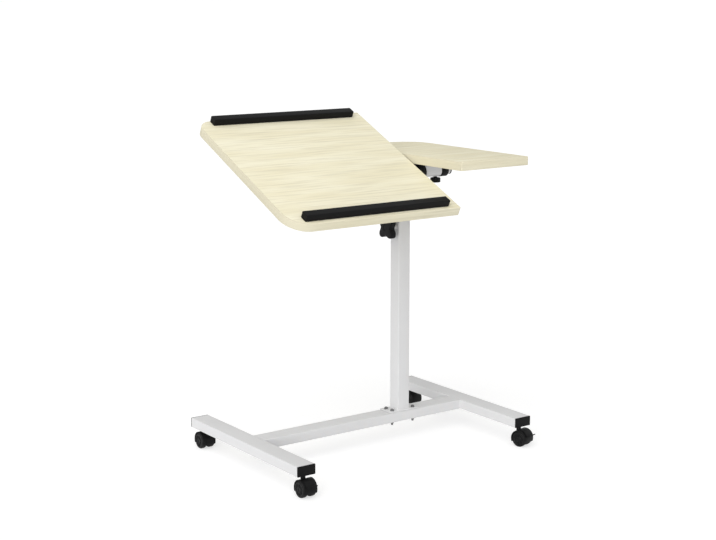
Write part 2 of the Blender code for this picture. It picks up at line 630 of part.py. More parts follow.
def make_caster(name, x, y, heading, braked, plastic, tread, steel):
    """Twin-wheel caster that trails along its own -Y, with its stem in the foot."""
    axle_z = WHEEL_DIAMETER / 2
    collar_top = FOOT_BOTTOM - GAP
    collar_bottom = collar_top - STEM_COLLAR
    pin, collar = STEM_DIAMETER / 2, STEM_COLLAR_DIAMETER / 2
    rows = ((collar_bottom - STEM_IN_HOOD, pin), (collar_bottom, pin), (collar_bottom, collar),
            (collar_top, collar), (collar_top, pin), (collar_top + STEM_IN_FOOT, pin))
    piece(f"{name}_stem", turned(rows, "Z", SMALL_SIDES), steel, location=(x, y, 0.0))
    swivel = empty(f"{name}_swivel", (x, y, 0.0), (0.0, 0.0, heading))
    piece(f"{name}_hood", make_hood(), plastic, swivel)
    axle_place = (0.0, -CASTER_TRAIL, axle_z)
    inner = HOOD_WEB / 2 + GAP
    outer = inner + WHEEL_WIDTH
    radius = AXLE_DIAMETER / 2
    reach = inner + WHEEL_BORE_DEPTH - GAP
    axle = turned(((-reach, radius), (reach, radius)), "X", SMALL_SIDES)
    piece(f"{name}_axle", axle, steel, swivel, axle_place)
    piece(f"{name}_wheel_right", make_wheel(inner, outer), tread, swivel, axle_place)
    piece(f"{name}_wheel_left", mirrored(make_wheel(inner, outer)), tread, swivel, axle_place)
    if braked:
        piece(f"{name}_brake_pedal", make_pedal(), plastic, swivel, axle_place)


def make_wheel(inner, outer):
    """Wheel with a soft rounded tread, a dished outer face and a closed hub over a blind bore."""
    rim = WHEEL_DIAMETER / 2
    bore = AXLE_DIAMETER / 2 + GAP
    edge = WHEEL_EDGE
    hub = rim * WHEEL_HUB_SHARE
    rows = ((inner + WHEEL_BORE_DEPTH, bore), (inner, bore), (inner, rim - edge), (inner + edge, rim),
            (outer - edge, rim), (outer, rim - edge), (outer, rim * WHEEL_FACE_SHARE),
            (outer - edge, rim * WHEEL_DISH_SHARE), (outer - edge, hub), (outer, hub - WHEEL_HUB_TAPER))
    return turned(rows, "X")


def make_hood():
    """Mudguard over both wheels on a web between them, with a neck that takes the stem."""
    axle = (-CASTER_TRAIL, WHEEL_DIAMETER / 2)
    half_width = HOOD_WEB / 2 + GAP + WHEEL_WIDTH
    skirt = math.asin(HOOD_SKIRT / HOOD_RADIUS)
    arc = [(HOOD_RADIUS * math.cos(a), HOOD_RADIUS * math.sin(a))
           for a in (-skirt + i * (math.pi + 2 * skirt) / ROUND_SIDES for i in range(ROUND_SIDES + 1))]
    body = loft([loop(arc, "X", -half_width, axle), loop(arc, "X", half_width, axle)])
    pin_end = NECK_TOP - STEM_IN_HOOD
    low, radius = pin_end - SOCKET_FLOOR, SOCKET_DIAMETER / 2
    socket = turned(((low, radius), (NECK_TOP, radius)), "Z", SMALL_SIDES)
    body = shaped(body, "UNION", [socket])
    well = WHEEL_DIAMETER / 2 + WHEEL_CLEARANCE
    reach = half_width + HOOD_WALL
    cutters = [turned(((side * HOOD_WEB / 2, well), (side * reach, well)), "X", centre=axle)
               for side in (-1, 1)]
    bore = AXLE_DIAMETER / 2 + GAP
    cutters.append(turned(((-reach, bore), (reach, bore)), "X", SMALL_SIDES, centre=axle))
    pin = STEM_DIAMETER / 2 + GAP
    cutters.append(turned(((pin_end, pin), (NECK_TOP + HOOD_WALL, pin)), "Z", SMALL_SIDES))
    return shaped(body, "DIFFERENCE", cutters)


def make_pedal():
    """Brake pedal: a band that rides round the hood, ending in a lip for the toe."""
    inside = HOOD_RADIUS + GAP
    outside = inside + PEDAL_THICKNESS
    tip = outside + PEDAL_LIP
    start, end = PEDAL_START, PEDAL_END
    lip = math.asin(PEDAL_THICKNESS / outside)
    angles = [start + (end - start) * i / PEDAL_STEPS for i in range(PEDAL_STEPS + 1)]
    outer = [(outside * math.cos(a), outside * math.sin(a)) for a in angles]
    toe = [(tip * math.cos(end), tip * math.sin(end)), (tip * math.cos(end + lip), tip * math.sin(end + lip))]
    back = [(inside * math.cos(a), inside * math.sin(a)) for a in [end + lip] + angles[::-1]]
    outline = outer + toe + back
    return loft([loop(outline, "X", -PEDAL_WIDTH / 2), loop(outline, "X", PEDAL_WIDTH / 2)])


def build():
    """All the pieces in their rest places."""
    for old in list(bpy.data.objects):
        bpy.data.objects.remove(old)
    white = material("white_powder_coat", srgb(226, 226, 224), 0.45)
    birch = material("birch_laminate", srgb(232, 224, 198), 0.5)
    black = material("black_plastic", srgb(30, 30, 31), 0.5)
    rubber = material("black_rubber", srgb(34, 34, 35), 0.65)
    zinc = material("zinc_steel", srgb(190, 190, 192), 0.35, 1.0)
    tread = material("black_tread", srgb(38, 38, 39), 0.6)

    for hand, x in (("left", LEFT_FOOT_X), ("right", RIGHT_FOOT_X)):
        make_foot(f"{hand}_foot", x, white)
        for depth, side in (("front", -1), ("rear", 1)):
            make_foot_cap(f"{hand}_{depth}_cap", x, side, black)
    make_spreader(white)
    make_outer_column(white)
    make_flange_bolts(zinc)
    make_column_bush(black)
    make_height_clamp(black, zinc)

    mast = empty("mast", (0.0, 0.0, AXIS_Z))
    make_inner_column(mast, white, black)
    make_cross_tube(mast, white, black)
    main = empty("main_tilt", (0.0, 0.0, 0.0), (MAIN_TILT, 0.0, 0.0), mast)
    side = empty("side_tilt", (0.0, 0.0, 0.0), (0.0, 0.0, 0.0), mast)
    piece("main_bracket", mirrored(make_bracket((SLEEVE_START, FAR_SLEEVE_START))), white, main)
    piece("side_bracket", make_bracket((SLEEVE_START,)), white, side)
    make_lock("main", -LOCK_X, main, black, zinc)
    make_lock("side", LOCK_X, side, black, zinc)
    make_tops(main, side, birch, rubber)

    casters = (("front_left_caster", LEFT_FOOT_X, -STEM_Y, FRONT_LEFT_HEADING, True),
               ("front_right_caster", RIGHT_FOOT_X, -STEM_Y, FRONT_RIGHT_HEADING, True),
               ("rear_left_caster", LEFT_FOOT_X, STEM_Y, REAR_LEFT_HEADING, False),
               ("rear_right_caster", RIGHT_FOOT_X, STEM_Y, REAR_RIGHT_HEADING, False))
    for name, x, y, heading, braked in casters:
        make_caster(name, x, y, heading, braked, black, tread, zinc)


build()
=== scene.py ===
import json
import math

import bmesh
import bpy
from mathutils import Matrix, Vector


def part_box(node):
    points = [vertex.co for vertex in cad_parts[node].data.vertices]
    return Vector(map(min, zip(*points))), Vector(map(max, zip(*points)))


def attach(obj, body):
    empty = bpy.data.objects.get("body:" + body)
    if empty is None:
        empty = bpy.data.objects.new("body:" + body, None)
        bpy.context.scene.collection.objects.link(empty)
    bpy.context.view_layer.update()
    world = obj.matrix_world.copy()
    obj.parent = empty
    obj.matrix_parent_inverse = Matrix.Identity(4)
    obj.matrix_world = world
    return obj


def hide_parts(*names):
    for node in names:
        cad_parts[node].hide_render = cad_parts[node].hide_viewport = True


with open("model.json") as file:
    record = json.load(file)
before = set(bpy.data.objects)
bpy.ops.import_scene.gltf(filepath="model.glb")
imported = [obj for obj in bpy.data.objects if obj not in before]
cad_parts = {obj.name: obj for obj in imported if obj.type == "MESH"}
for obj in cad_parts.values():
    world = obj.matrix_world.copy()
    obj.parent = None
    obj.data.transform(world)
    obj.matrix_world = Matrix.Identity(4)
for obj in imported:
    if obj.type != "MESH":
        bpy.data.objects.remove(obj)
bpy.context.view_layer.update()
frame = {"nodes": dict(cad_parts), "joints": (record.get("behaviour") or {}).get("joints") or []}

joints = {joint["name"]: joint for joint in frame["joints"]}

# Base tubes
# Two feet and a spreader of 50 x 25 mm steel tube with rounded edges, cut square.
# They are welded into a flat H and powder coated white in one go.
LEAST_RADIUS = 0.0004


def rounded(half_u, half_v, radius, steps=6):
    """Outline of a rectangle with rounded corners."""
    points = []
    for quarter, (side_u, side_v) in enumerate(((1, 1), (-1, 1), (-1, -1), (1, -1))):
        for step in range(steps + 1):
            angle = (quarter + step / steps) * math.pi / 2
            points.append((side_u * (half_u - radius) + radius * math.cos(angle),
                           side_v * (half_v - radius) + radius * math.sin(angle)))
    return points


def set_along(points, along, at, centre=(0.0, 0.0)):
    """Outline set at a place along X, Y or Z."""
    turn = {"X": lambda u, v: (at, u, v), "Y": lambda u, v: (u, at, v), "Z": lambda u, v: (u, v, at)}[along]
    return [turn(u + centre[0], v + centre[1]) for u, v in points]


def skinned(rows, ring=False):
    """Closed skin over rows of points, capped at its ends or joined end to end."""
    bm = bmesh.new()
    made = [[bm.verts.new(point) for point in points] for points in rows]
    for first, second in list(zip(made, made[1:])) + ([(made[-1], made[0])] if ring else []):
        for i in range(len(first)):
            j = (i + 1) % len(first)
            bm.faces.new((first[i], first[j], second[j], second[i]))
    if not ring:
        bm.faces.new(made[0])
        bm.faces.new(made[-1])
    bmesh.ops.recalc_face_normals(bm, faces=bm.faces)
    return bm


def as_piece(name, bm, place=None, sharp=35):
    """Object at the origin whose mesh holds its place, smooth between its sharp edges."""
    if place is not None:
        bm.transform(place)
    mesh = bpy.data.meshes.new(name)
    bm.to_mesh(mesh)
    bm.free()
    mesh.shade_smooth()
    mesh.set_sharp_from_angle(angle=math.radians(sharp))
    made = bpy.data.objects.new(name, mesh)
    bpy.context.collection.objects.link(made)
    return made


def dress(made, finish, body, slot, *hidden):
    """Gives a piece its finish, the body it moves with and the nodes it stands for."""
    made.data.materials.clear()
    made.data.materials.append(finish)
    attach(made, body)
    if hidden:
        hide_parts(*hidden)


def box_tube(half_u, half_v, wall, corner, along, start, end, centre):
    """Open rectangular tube."""
    outer = rounded(half_u, half_v, corner)
    inner = rounded(half_u - wall, half_v - wall, max(corner - wall, LEAST_RADIUS))
    ends = ((outer, start), (outer, end), (inner, end), (inner, start))
    return skinned([set_along(outline, along, at, centre) for outline, at in ends], ring=True)


def node_in(tree, kind, settings=None, sockets=None):
    """New node in a tree with its settings and then its sockets' values or links."""
    made = tree.nodes.new(kind)
    for key, value in (settings or {}).items():
        setattr(made, key, value)
    for key, value in (sockets or {}).items():
        socket = next((s for s in made.inputs if s.identifier == key), None) or made.inputs[key]
        if isinstance(value, bpy.types.NodeSocket):
            tree.links.new(value, socket)
        else:
            socket.default_value = value
    return made


class Field:
    """Shader socket that takes part in Python sums."""

    def __init__(self, tree, socket=None):
        self.tree, self.socket = tree, socket

    def node(self, kind, settings=None, sockets=None, out=None):
        """New node whose sockets take fields too; returns its first or a named output."""
        given = (sockets or {}).items()
        plain = {key: value.socket if isinstance(value, Field) else value for key, value in given}
        made = node_in(self.tree, kind, settings, plain)
        outputs = {socket.identifier: socket for socket in made.outputs}
        return Field(self.tree, outputs[out] if out else made.outputs[0])

    def sum(self, operation, first, second):
        return self.node("ShaderNodeMath", {"operation": operation}, {"Value": first, "Value_001": second})

    def __add__(self, other):
        return self.sum("ADD", self, other)

    def __radd__(self, other):
        return self.sum("ADD", other, self)

    def __mul__(self, other):
        return self.sum("MULTIPLY", self, other)

    def __rmul__(self, other):
        return self.sum("MULTIPLY", other, self)

    def feed(self, shader, name):
        self.tree.links.new(self.socket, shader.inputs[name])


def new_finish(name):
    """Material, its shader and a field to start its sums from."""
    made = bpy.data.materials.new(name)
    made.use_nodes = True
    shader = made.node_tree.nodes["Principled BSDF"]
    return made, shader, Field(made.node_tree)


def linear(red, green, blue):
    """Colour from 8-bit display values."""
    def one(value):
        value /= 255
        return value / 12.92 if value <= 0.04045 else ((value + 0.055) / 1.055) ** 2.4
    return (one(red), one(green), one(blue), 1.0)


def mixed(start, factor, first, second):
    """Colour between two colours."""
    return start.node("ShaderNodeMix", {"data_type": "RGBA"},
                      {"Factor_Float": factor, "A_Color": first, "B_Color": second}, "Result_Color")


def noise(start, scale, stretch=(1.0, 1.0, 1.0), detail=3.0, place=None):
    """Cloudy noise on the object's own or given coordinates, drawn out along an axis by a small stretch."""
    place = place or start.node("ShaderNodeTexCoord", out="Object")
    drawn = start.node("ShaderNodeMapping", {}, {"Vector": place, "Scale": stretch})
    return start.node("ShaderNodeTexNoise", {}, {"Vector": drawn, "Scale": scale, "Detail": detail})


def relief(start, shader, height, strength, distance):
    """Fine roughness of a surface, from a pattern of heights."""
    bump = start.node("ShaderNodeBump", {}, {"Strength": strength, "Distance": distance, "Height": height})
    bump.feed(shader, "Normal")


white_coat, shader, start = new_finish("white_powder_coat")
cloud = noise(start, 14.0)
peel = noise(start, 650.0)
mixed(start, cloud, linear(215, 215, 216), linear(210, 210, 211)).feed(shader, "Base Color")
(0.36 + cloud * 0.12 + peel * 0.05).feed(shader, "Roughness")
relief(start, shader, peel, 0.12, 0.0004)

FOOT_WALL = 0.002
FOOT_CORNER = 0.0014
for name, along in (("left_foot", "Y"), ("right_foot", "Y"), ("spreader_bar", "X")):
    low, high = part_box(name)
    half, middle = (high - low) / 2, (high + low) / 2
    if along == "Y":
        bm = box_tube(half.x, half.z, FOOT_WALL, FOOT_CORNER, "Y", low.y, high.y, (middle.x, middle.z))
    else:
        bm = box_tube(half.y, half.z, FOOT_WALL, FOOT_CORNER, "X", low.x, high.x, (middle.y, middle.z))
    dress(as_piece(name + "_tube", bm), white_coat, "base", "white_paint", name)

# Weld seams
# The joints of the steel frame are closed by short runs of weld, laid by hand and painted over.
# Each run is a row of small overlapping drops of metal along the corner.
BEAD_PITCH = 0.0016


def new_tree(name, sizes):
    """Geometry tree with named size inputs; returns it with its input node."""
    tree = bpy.data.node_groups.new(name, "GeometryNodeTree")
    tree.interface.new_socket("Geometry", in_out="INPUT", socket_type="NodeSocketGeometry")
    for size in sizes:
        tree.interface.new_socket(size, in_out="INPUT", socket_type="NodeSocketFloat")
    tree.interface.new_socket("Geometry", in_out="OUTPUT", socket_type="NodeSocketGeometry")
    return tree, tree.nodes.new("NodeGroupInput")


def close_tree(tree, instances, finish):
    """Ends a tree with real geometry in its finish."""
    real = node_in(tree, "GeometryNodeRealizeInstances", {}, {"Geometry": instances})
    coloured = node_in(tree, "GeometryNodeSetMaterial", {}, {"Geometry": real.outputs[0], "Material": finish})
    smooth = node_in(tree, "GeometryNodeSetShadeSmooth", {}, {"Geometry": coloured.outputs[0]})
    tree.links.new(smooth.outputs[0], tree.nodes.new("NodeGroupOutput").inputs[0])


def grown(name, tree, sizes, points, edges, sharp=35):
    """Runs a tree over points and edges and keeps the result as a plain mesh."""
    seed = bpy.data.meshes.new(name + "_seed")
    seed.from_pydata(points, edges, [])
    holder = bpy.data.objects.new(name + "_seed", seed)
    modifier = holder.modifiers.new("grow", "NODES")
    modifier.node_group = tree
    for item in tree.interface.items_tree:
        if item.item_type == "SOCKET" and item.in_out == "INPUT" and item.name in sizes:
            modifier[item.identifier] = sizes[item.name]
    bpy.context.collection.objects.link(holder)
    graph = bpy.context.evaluated_depsgraph_get()
    mesh = bpy.data.meshes.new_from_object(holder.evaluated_get(graph))
    bpy.data.objects.remove(holder)
    bpy.data.meshes.remove(seed)
    mesh.name = name
    mesh.set_sharp_from_angle(angle=math.radians(sharp))
    made = bpy.data.objects.new(name, mesh)
    bpy.context.collection.objects.link(made)
    return made


bead_tree, inputs = new_tree("weld_bead", ("Bead Radius", "Pitch"))
path = node_in(bead_tree, "GeometryNodeMeshToCurve", {}, {"Mesh": inputs.outputs["Geometry"]})
even = node_in(bead_tree, "GeometryNodeResampleCurve", {"mode": "LENGTH"},
               {"Curve": path.outputs[0], "Length": inputs.outputs["Pitch"]})
drop = node_in(bead_tree, "GeometryNodeMeshIcoSphere", {},
               {"Radius": inputs.outputs["Bead Radius"], "Subdivisions": 2})
vary = node_in(bead_tree, "FunctionNodeRandomValue", {"data_type": "FLOAT"},
               {"Min_001": 0.82, "Max_001": 1.1, "Seed": 5})
beads = node_in(bead_tree, "GeometryNodeInstanceOnPoints", {},
                {"Points": even.outputs[0], "Instance": drop.outputs[0], "Scale": vary.outputs[1]})
close_tree(bead_tree, beads.outputs[0], white_coat)


def chain(runs):
    """Points and edges of several separate paths."""
    points, edges = [], []
    for run in runs:
        edges += [(len(points) + i, len(points) + i + 1) for i in range(len(run) - 1)]
        points += run
    return points, edges


spreader_low, spreader_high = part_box("spreader_bar")
foot_seams = []
for x in (spreader_low.x, spreader_high.x):
    for y in (spreader_low.y, spreader_high.y):
        foot_seams.append([(x, y, spreader_low.z + FOOT_CORNER), (x, y, spreader_high.z - FOOT_CORNER)])
seams = grown("foot_welds", bead_tree, {"Bead Radius": 0.0013, "Pitch": BEAD_PITCH}, *chain(foot_seams))
dress(seams, white_coat, "base", "white_paint")

# Foot end caps
# Moulded black nylon caps with a thin rounded flange, pushed into the open ends of the feet.
# The flange has the outline of the tube and the plug inside it grips the wall.
black_nylon, shader, start = new_finish("black_moulded_nylon")
cloud = noise(start, 30.0)
spark = noise(start, 1600.0, detail=2.0)
mixed(start, cloud, linear(7, 7, 8), linear(11, 11, 12)).feed(shader, "Base Color")
(0.44 + cloud * 0.14 + spark * 0.06).feed(shader, "Roughness")
shader.inputs["Specular IOR Level"].default_value = 0.15
relief(start, shader, spark, 0.22, 0.0003)

CAP_EDGE, CAP_LEAST_CORNER = 0.0011, 0.0006
PLUG_INSET = FOOT_WALL + 0.0004
CLEARANCE = 0.0003


def soft_rim(edge, face, direction, steps=4):
    """Inset and place pairs of a rounded rim, from its full width to the face that it ends on."""
    angles = [step / steps * math.pi / 2 for step in range(steps + 1)]
    return [(edge * (1 - math.cos(a)), face - direction * edge * (1 - math.sin(a))) for a in angles]


for depth, side in (("front", -1), ("rear", 1)):
    for hand in ("left", "right"):
        name = f"{hand}_{depth}_cap"
        low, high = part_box(name)
        foot_low, foot_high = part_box(f"{hand}_foot")
        half, middle = (high - low) / 2, (high + low) / 2
        face, seat = (low.y, foot_low.y) if side < 0 else (high.y, foot_high.y)
        plug_end = high.y if side < 0 else low.y
        rows = [(PLUG_INSET, plug_end), (PLUG_INSET, seat), (0.0, seat + side * CLEARANCE)]
        loops = []
        for inset, at in rows + soft_rim(CAP_EDGE, face, side):
            outline = rounded(half.x - inset, half.z - inset, max(FOOT_CORNER - inset, CAP_LEAST_CORNER))
            loops.append(set_along(outline, "Y", at, (middle.x, middle.z)))
        dress(as_piece(name + "_moulding", skinned(loops)), black_nylon, "base", "black_plastic", name)

# Caster stems and axles
# A turned steel stem stands in each foot and carries a caster that swivels on it.
# A steel axle goes through the caster's web into the hubs of both wheels. All of it is zinc plated.
zinc, shader, start = new_finish("zinc_plated_steel")
cloud = noise(start, 60.0)
rub = noise(start, 500.0, (1.0, 1.0, 0.15))
mixed(start, cloud, linear(128, 128, 130), linear(108, 108, 107)).feed(shader, "Base Color")
(0.40 + cloud * 0.12 + rub * 0.12).feed(shader, "Roughness")
shader.inputs["Metallic"].default_value = 1.0
relief(start, shader, rub, 0.08, 0.0002)

CASTERS = ("front_left", "front_right", "rear_left", "rear_right")
ROUND = 64


def circle(radius, sides=ROUND):
    """Round outline."""
    turns = [i * math.tau / sides for i in range(sides)]
    return [(radius * math.cos(turn), radius * math.sin(turn)) for turn in turns]


def turned(profile, along, ring=False, centre=(0.0, 0.0), sides=ROUND):
    """Turned skin from (place, radius) pairs."""
    return skinned([set_along(circle(radius, sides), along, at, centre) for at, radius in profile], ring)


def caster_place(key):
    """Frame at a caster's axle: X along the axle, Y to the stem, Z up."""
    spin = joints[key + "_right_wheel_spin"]
    heading = math.atan2(spin["axis"][1], spin["axis"][0])
    return Matrix.Translation(spin["pos_m"]) @ Matrix.Rotation(heading, 4, "Z")


PIN_LENGTH, PIN_RADIUS, PIN_EDGE = 0.014, 0.0035, 0.0004
AXLE_REACH, AXLE_RADIUS = 0.0135, 0.003
for key in CASTERS:
    low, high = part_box(key + "_caster_stem")
    seat, shoulder, collar = low.z + PIN_LENGTH, high.z - PIN_LENGTH, (high.x - low.x) / 2
    rows = ((low.z, PIN_RADIUS - PIN_EDGE), (low.z + PIN_EDGE, PIN_RADIUS), (seat, PIN_RADIUS),
            (seat, collar - PIN_EDGE), (seat + PIN_EDGE, collar), (shoulder - PIN_EDGE, collar),
            (shoulder, collar - PIN_EDGE), (shoulder, PIN_RADIUS), (high.z - PIN_EDGE, PIN_RADIUS),
            (high.z, PIN_RADIUS - PIN_EDGE))
    stem = as_piece(key + "_stem", turned(rows, "Z", centre=((low.x + high.x) / 2, (low.y + high.y) / 2)))
    dress(stem, zinc, "base", "zinc_steel", key + "_caster_stem")
    rows = ((-AXLE_REACH, AXLE_RADIUS - PIN_EDGE), (-AXLE_REACH + PIN_EDGE, AXLE_RADIUS),
            (AXLE_REACH - PIN_EDGE, AXLE_RADIUS), (AXLE_REACH, AXLE_RADIUS - PIN_EDGE))
    axle = as_piece(key + "_axle", turned(rows, "X"), caster_place(key))
    dress(axle, zinc, key + "_fork", "zinc_steel", key + "_caster_axle")

# Caster hoods
# A black nylon moulding covers both wheels like a mudguard, with a web between them.
# It swivels on the stem by a neck that stands on the leading side of the hood.
HOOD_RADIUS, HOOD_CROWN, HOOD_HALF = 0.0222, 0.0018, 0.0185
HOOD_WALL, HOOD_SKIRT, HOOD_EDGE, HOOD_STEPS = 0.0014, 0.008, 0.0004, 72
WEB_HALF = 0.0045
TRAIL = 0.011
NECK_RADIUS, NECK_LOW, NECK_TOP = 0.006, 0.0127, 0.0297
DRILL_REACH, DRILL_TOP = 0.03, 0.04


def carved(bm, operation, *tools):
    """Shape joined with or cut by the tools."""
    def held(shape):
        mesh = bpy.data.meshes.new("carving")
        shape.to_mesh(mesh)
        shape.free()
        made = bpy.data.objects.new("carving", mesh)
        bpy.context.collection.objects.link(made)
        return made
    target, helpers = held(bm), [held(tool) for tool in tools]
    for helper in helpers:
        modifier = target.modifiers.new("carve", "BOOLEAN")
        modifier.operation, modifier.solver, modifier.object = operation, "EXACT", helper
    graph = bpy.context.evaluated_depsgraph_get()
    result = bmesh.new()
    result.from_mesh(target.evaluated_get(graph).to_mesh())
    for used in [target] + helpers:
        mesh = used.data
        bpy.data.objects.remove(used)
        bpy.data.meshes.remove(mesh)
    return result


def softened(made, width, segments=2):
    """Rounds the sharp edges of a piece for good."""
    bevel = made.modifiers.new("soft edges", "BEVEL")
    bevel.width, bevel.segments, bevel.limit_method = width, segments, "ANGLE"
    bevel.angle_limit = math.radians(40)
    bevel.harden_normals = False
    graph = bpy.context.evaluated_depsgraph_get()
    mesh = bpy.data.meshes.new_from_object(made.evaluated_get(graph))
    made.modifiers.clear()
    mesh.shade_smooth()
    mesh.set_sharp_from_angle(angle=math.radians(50))
    made.data = mesh
    return made


def hood_shape():
    """Hood in its caster's own frame."""
    skirt = math.asin(HOOD_SKIRT / HOOD_RADIUS)
    arc = []
    for step in range(HOOD_STEPS + 1):
        angle = -skirt + step * (math.pi + 2 * skirt) / HOOD_STEPS
        radius = HOOD_RADIUS + HOOD_CROWN * max(math.sin(angle), 0.0)
        arc.append((radius * math.cos(angle), radius * math.sin(angle)))
    body = skinned([set_along(arc, "X", -HOOD_HALF), set_along(arc, "X", HOOD_HALF)])
    neck = turned(((NECK_LOW, NECK_RADIUS), (NECK_TOP, NECK_RADIUS)), "Z", centre=(0.0, TRAIL))
    body = carved(body, "UNION", neck)
    well = HOOD_RADIUS - HOOD_WALL
    cuts = [turned(((side * WEB_HALF, well), (side * (HOOD_HALF + HOOD_WALL), well)), "X", sides=96)
            for side in (-1, 1)]
    bore = AXLE_RADIUS + CLEARANCE
    cuts.append(turned(((-DRILL_REACH, bore), (DRILL_REACH, bore)), "X"))
    bore = PIN_RADIUS + CLEARANCE
    cuts.append(turned(((NECK_TOP - PIN_LENGTH, bore), (DRILL_TOP, bore)), "Z", centre=(0.0, TRAIL)))
    return carved(body, "DIFFERENCE", *cuts)


for key in CASTERS:
    hood = softened(as_piece(key + "_hood", hood_shape(), caster_place(key)), HOOD_EDGE)
    dress(hood, black_nylon, key + "_fork", "black_plastic", key + "_caster_hood")

# Caster wheels
# Each wheel is moulded in hard black nylon, with a crowned tread, a dished face and a closed hub.
# Radial ribs stiffen the dish. The tread has picked up a little dust from the floor.
wheel_nylon, shader, start = new_finish("black_wheel_nylon")
dust = start.node("ShaderNodeAttribute", {"attribute_name": "tread"}, {}, "Fac")
cloud = noise(start, 90.0)
grit = noise(start, 900.0)
dusty = dust * cloud * 0.35
mixed(start, dusty, linear(9, 9, 10), linear(72, 71, 68)).feed(shader, "Base Color")
(0.42 + dusty * 0.5 + grit * 0.08).feed(shader, "Roughness")
shader.inputs["Specular IOR Level"].default_value = 0.16
relief(start, shader, grit, 0.15, 0.0003)

# Pairs of place along the axle and radius: the blind bore, the tread, the rim, the dish and the hub's end.
WHEEL_PROFILE = (
    (0.0138, AXLE_RADIUS + CLEARANCE), (0.0048, AXLE_RADIUS + CLEARANCE),
    (0.0048, 0.0170), (0.0052, 0.0184), (0.0062, 0.0194), (0.0076, 0.0199), (0.0092, 0.0200),
    (0.0141, 0.0200), (0.0157, 0.0199), (0.0171, 0.0194), (0.0181, 0.0184), (0.0185, 0.0170),
    (0.0185, 0.0147), (0.0182, 0.0143), (0.0173, 0.0133), (0.0171, 0.0129),
    (0.0171, 0.0078), (0.0173, 0.0074), (0.0182, 0.0067), (0.0185, 0.0063),
    (0.0185, 0.0042), (0.0181, 0.0038), (0.0181, 0.0010))
WHEEL_SIDES = 72
WEAR_START, WEAR_DEPTH = 0.0178, 0.002
RIBS, RIB_FACE, RIB_CIRCLE = 8, 0.0172, 0.0103

rib_tree, inputs = new_tree("wheel_ribs", ("Rib Length", "Rib Width", "Rib Height"))
size = node_in(rib_tree, "ShaderNodeCombineXYZ", {},
               {"X": inputs.outputs["Rib Height"], "Y": inputs.outputs["Rib Length"],
                "Z": inputs.outputs["Rib Width"]})
rib = node_in(rib_tree, "GeometryNodeMeshCube", {}, {"Size": size.outputs[0]})
where = node_in(rib_tree, "GeometryNodeInputPosition")
facing = node_in(rib_tree, "FunctionNodeAlignRotationToVector", {"axis": "Y", "pivot_axis": "X"},
                 {"Vector": where.outputs[0]})
ribs = node_in(rib_tree, "GeometryNodeInstanceOnPoints", {},
               {"Points": inputs.outputs["Geometry"], "Instance": rib.outputs[0],
                "Rotation": facing.outputs[0]})
close_tree(rib_tree, ribs.outputs[0], wheel_nylon)

for key in CASTERS:
    for hand, side in (("right", 1), ("left", -1)):
        profile = [(side * at, radius) for at, radius in WHEEL_PROFILE]
        wheel = as_piece(f"{key}_{hand}_wheel_tyre", turned(profile, "X", sides=WHEEL_SIDES), sharp=50)
        worn = wheel.data.attributes.new("tread", "FLOAT", "POINT")
        for vertex in wheel.data.vertices:
            reach = math.hypot(vertex.co.y, vertex.co.z)
            worn.data[vertex.index].value = min(max((reach - WEAR_START) / WEAR_DEPTH, 0.0), 1.0)
        wheel.data.transform(caster_place(key))
        body = f"{key}_{hand}_wheel"
        dress(wheel, wheel_nylon, body, "wheel_tread", f"{key}_caster_wheel_{hand}")
        spots = [(side * RIB_FACE, y, z) for y, z in circle(RIB_CIRCLE, RIBS)]
        made = grown(f"{key}_{hand}_wheel_ribs", rib_tree,
                     {"Rib Length": 0.0062, "Rib Width": 0.0011, "Rib Height": 0.0016}, spots, [])
        made.data.transform(caster_place(key))
        dress(made, wheel_nylon, body, "wheel_tread")

# Brake pedals
# The front casters have a moulded pedal that rides round the back of the hood and ends in a toe lip.
# Pressing it down locks the wheels of the real caster.
PEDAL_HALF, PEDAL_THICKNESS, PEDAL_LIP, PEDAL_EDGE = 0.0135, 0.002, 0.0082, 0.0006
PEDAL_START, PEDAL_END, PEDAL_STEPS = math.radians(112), math.radians(155), 24


def pedal_shape():
    """Pedal in its caster's own frame."""
    inside = HOOD_RADIUS + HOOD_CROWN + CLEARANCE
    outside = inside + PEDAL_THICKNESS
    tip = outside + PEDAL_LIP
    lip = math.asin(PEDAL_THICKNESS / outside)
    angles = [PEDAL_START + (PEDAL_END - PEDAL_START) * i / PEDAL_STEPS for i in range(PEDAL_STEPS + 1)]

    def at(radius, angle):
        return (radius * math.cos(angle), radius * math.sin(angle))
    outline = [at(outside, a) for a in angles] + [at(tip, PEDAL_END), at(tip, PEDAL_END + lip)]
    outline += [at(inside, a) for a in [PEDAL_END + lip] + angles[::-1]]
    return skinned([set_along(outline, "X", -PEDAL_HALF), set_along(outline, "X", PEDAL_HALF)])


for key in CASTERS[:2]:
    pedal = softened(as_piece(key + "_pedal_moulding", pedal_shape(), caster_place(key)), PEDAL_EDGE, 3)
    dress(pedal, black_nylon, key + "_pedal", "black_plastic", key + "_caster_brake_pedal")

# Outer column
# A 36 mm square steel tube stands on a thin flange plate and is welded to it all round.
# A round boss on its left face holds the thread of the clamp screw. It is coated with the base.
COLUMN_HALF, COLUMN_CORNER, COLUMN_WALL = 0.018, 0.0014, 0.0015
FLANGE_THICKNESS, FLANGE_CORNER, FLANGE_EDGE = 0.003, 0.0012, 0.0006
STUD_RADIUS = 0.004
STUD_BORE = STUD_RADIUS + CLEARANCE
DRILL_START, DRILL_END = -0.025, -0.010
BOSS_FACE, BOSS_SEAT, BOSS_RADIUS, BOSS_EDGE = -0.0280, -0.0175, 0.009, 0.0006
column_low, column_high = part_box("outer_column")
flange_bottom, flange_top = column_low.z, column_low.z + FLANGE_THICKNESS
clamp_z = joints["height_knob_turn"]["pos_m"][2]
bm = box_tube(COLUMN_HALF, COLUMN_HALF, COLUMN_WALL, COLUMN_CORNER, "Z", flange_top, column_high.z,
              (0.0, 0.0))
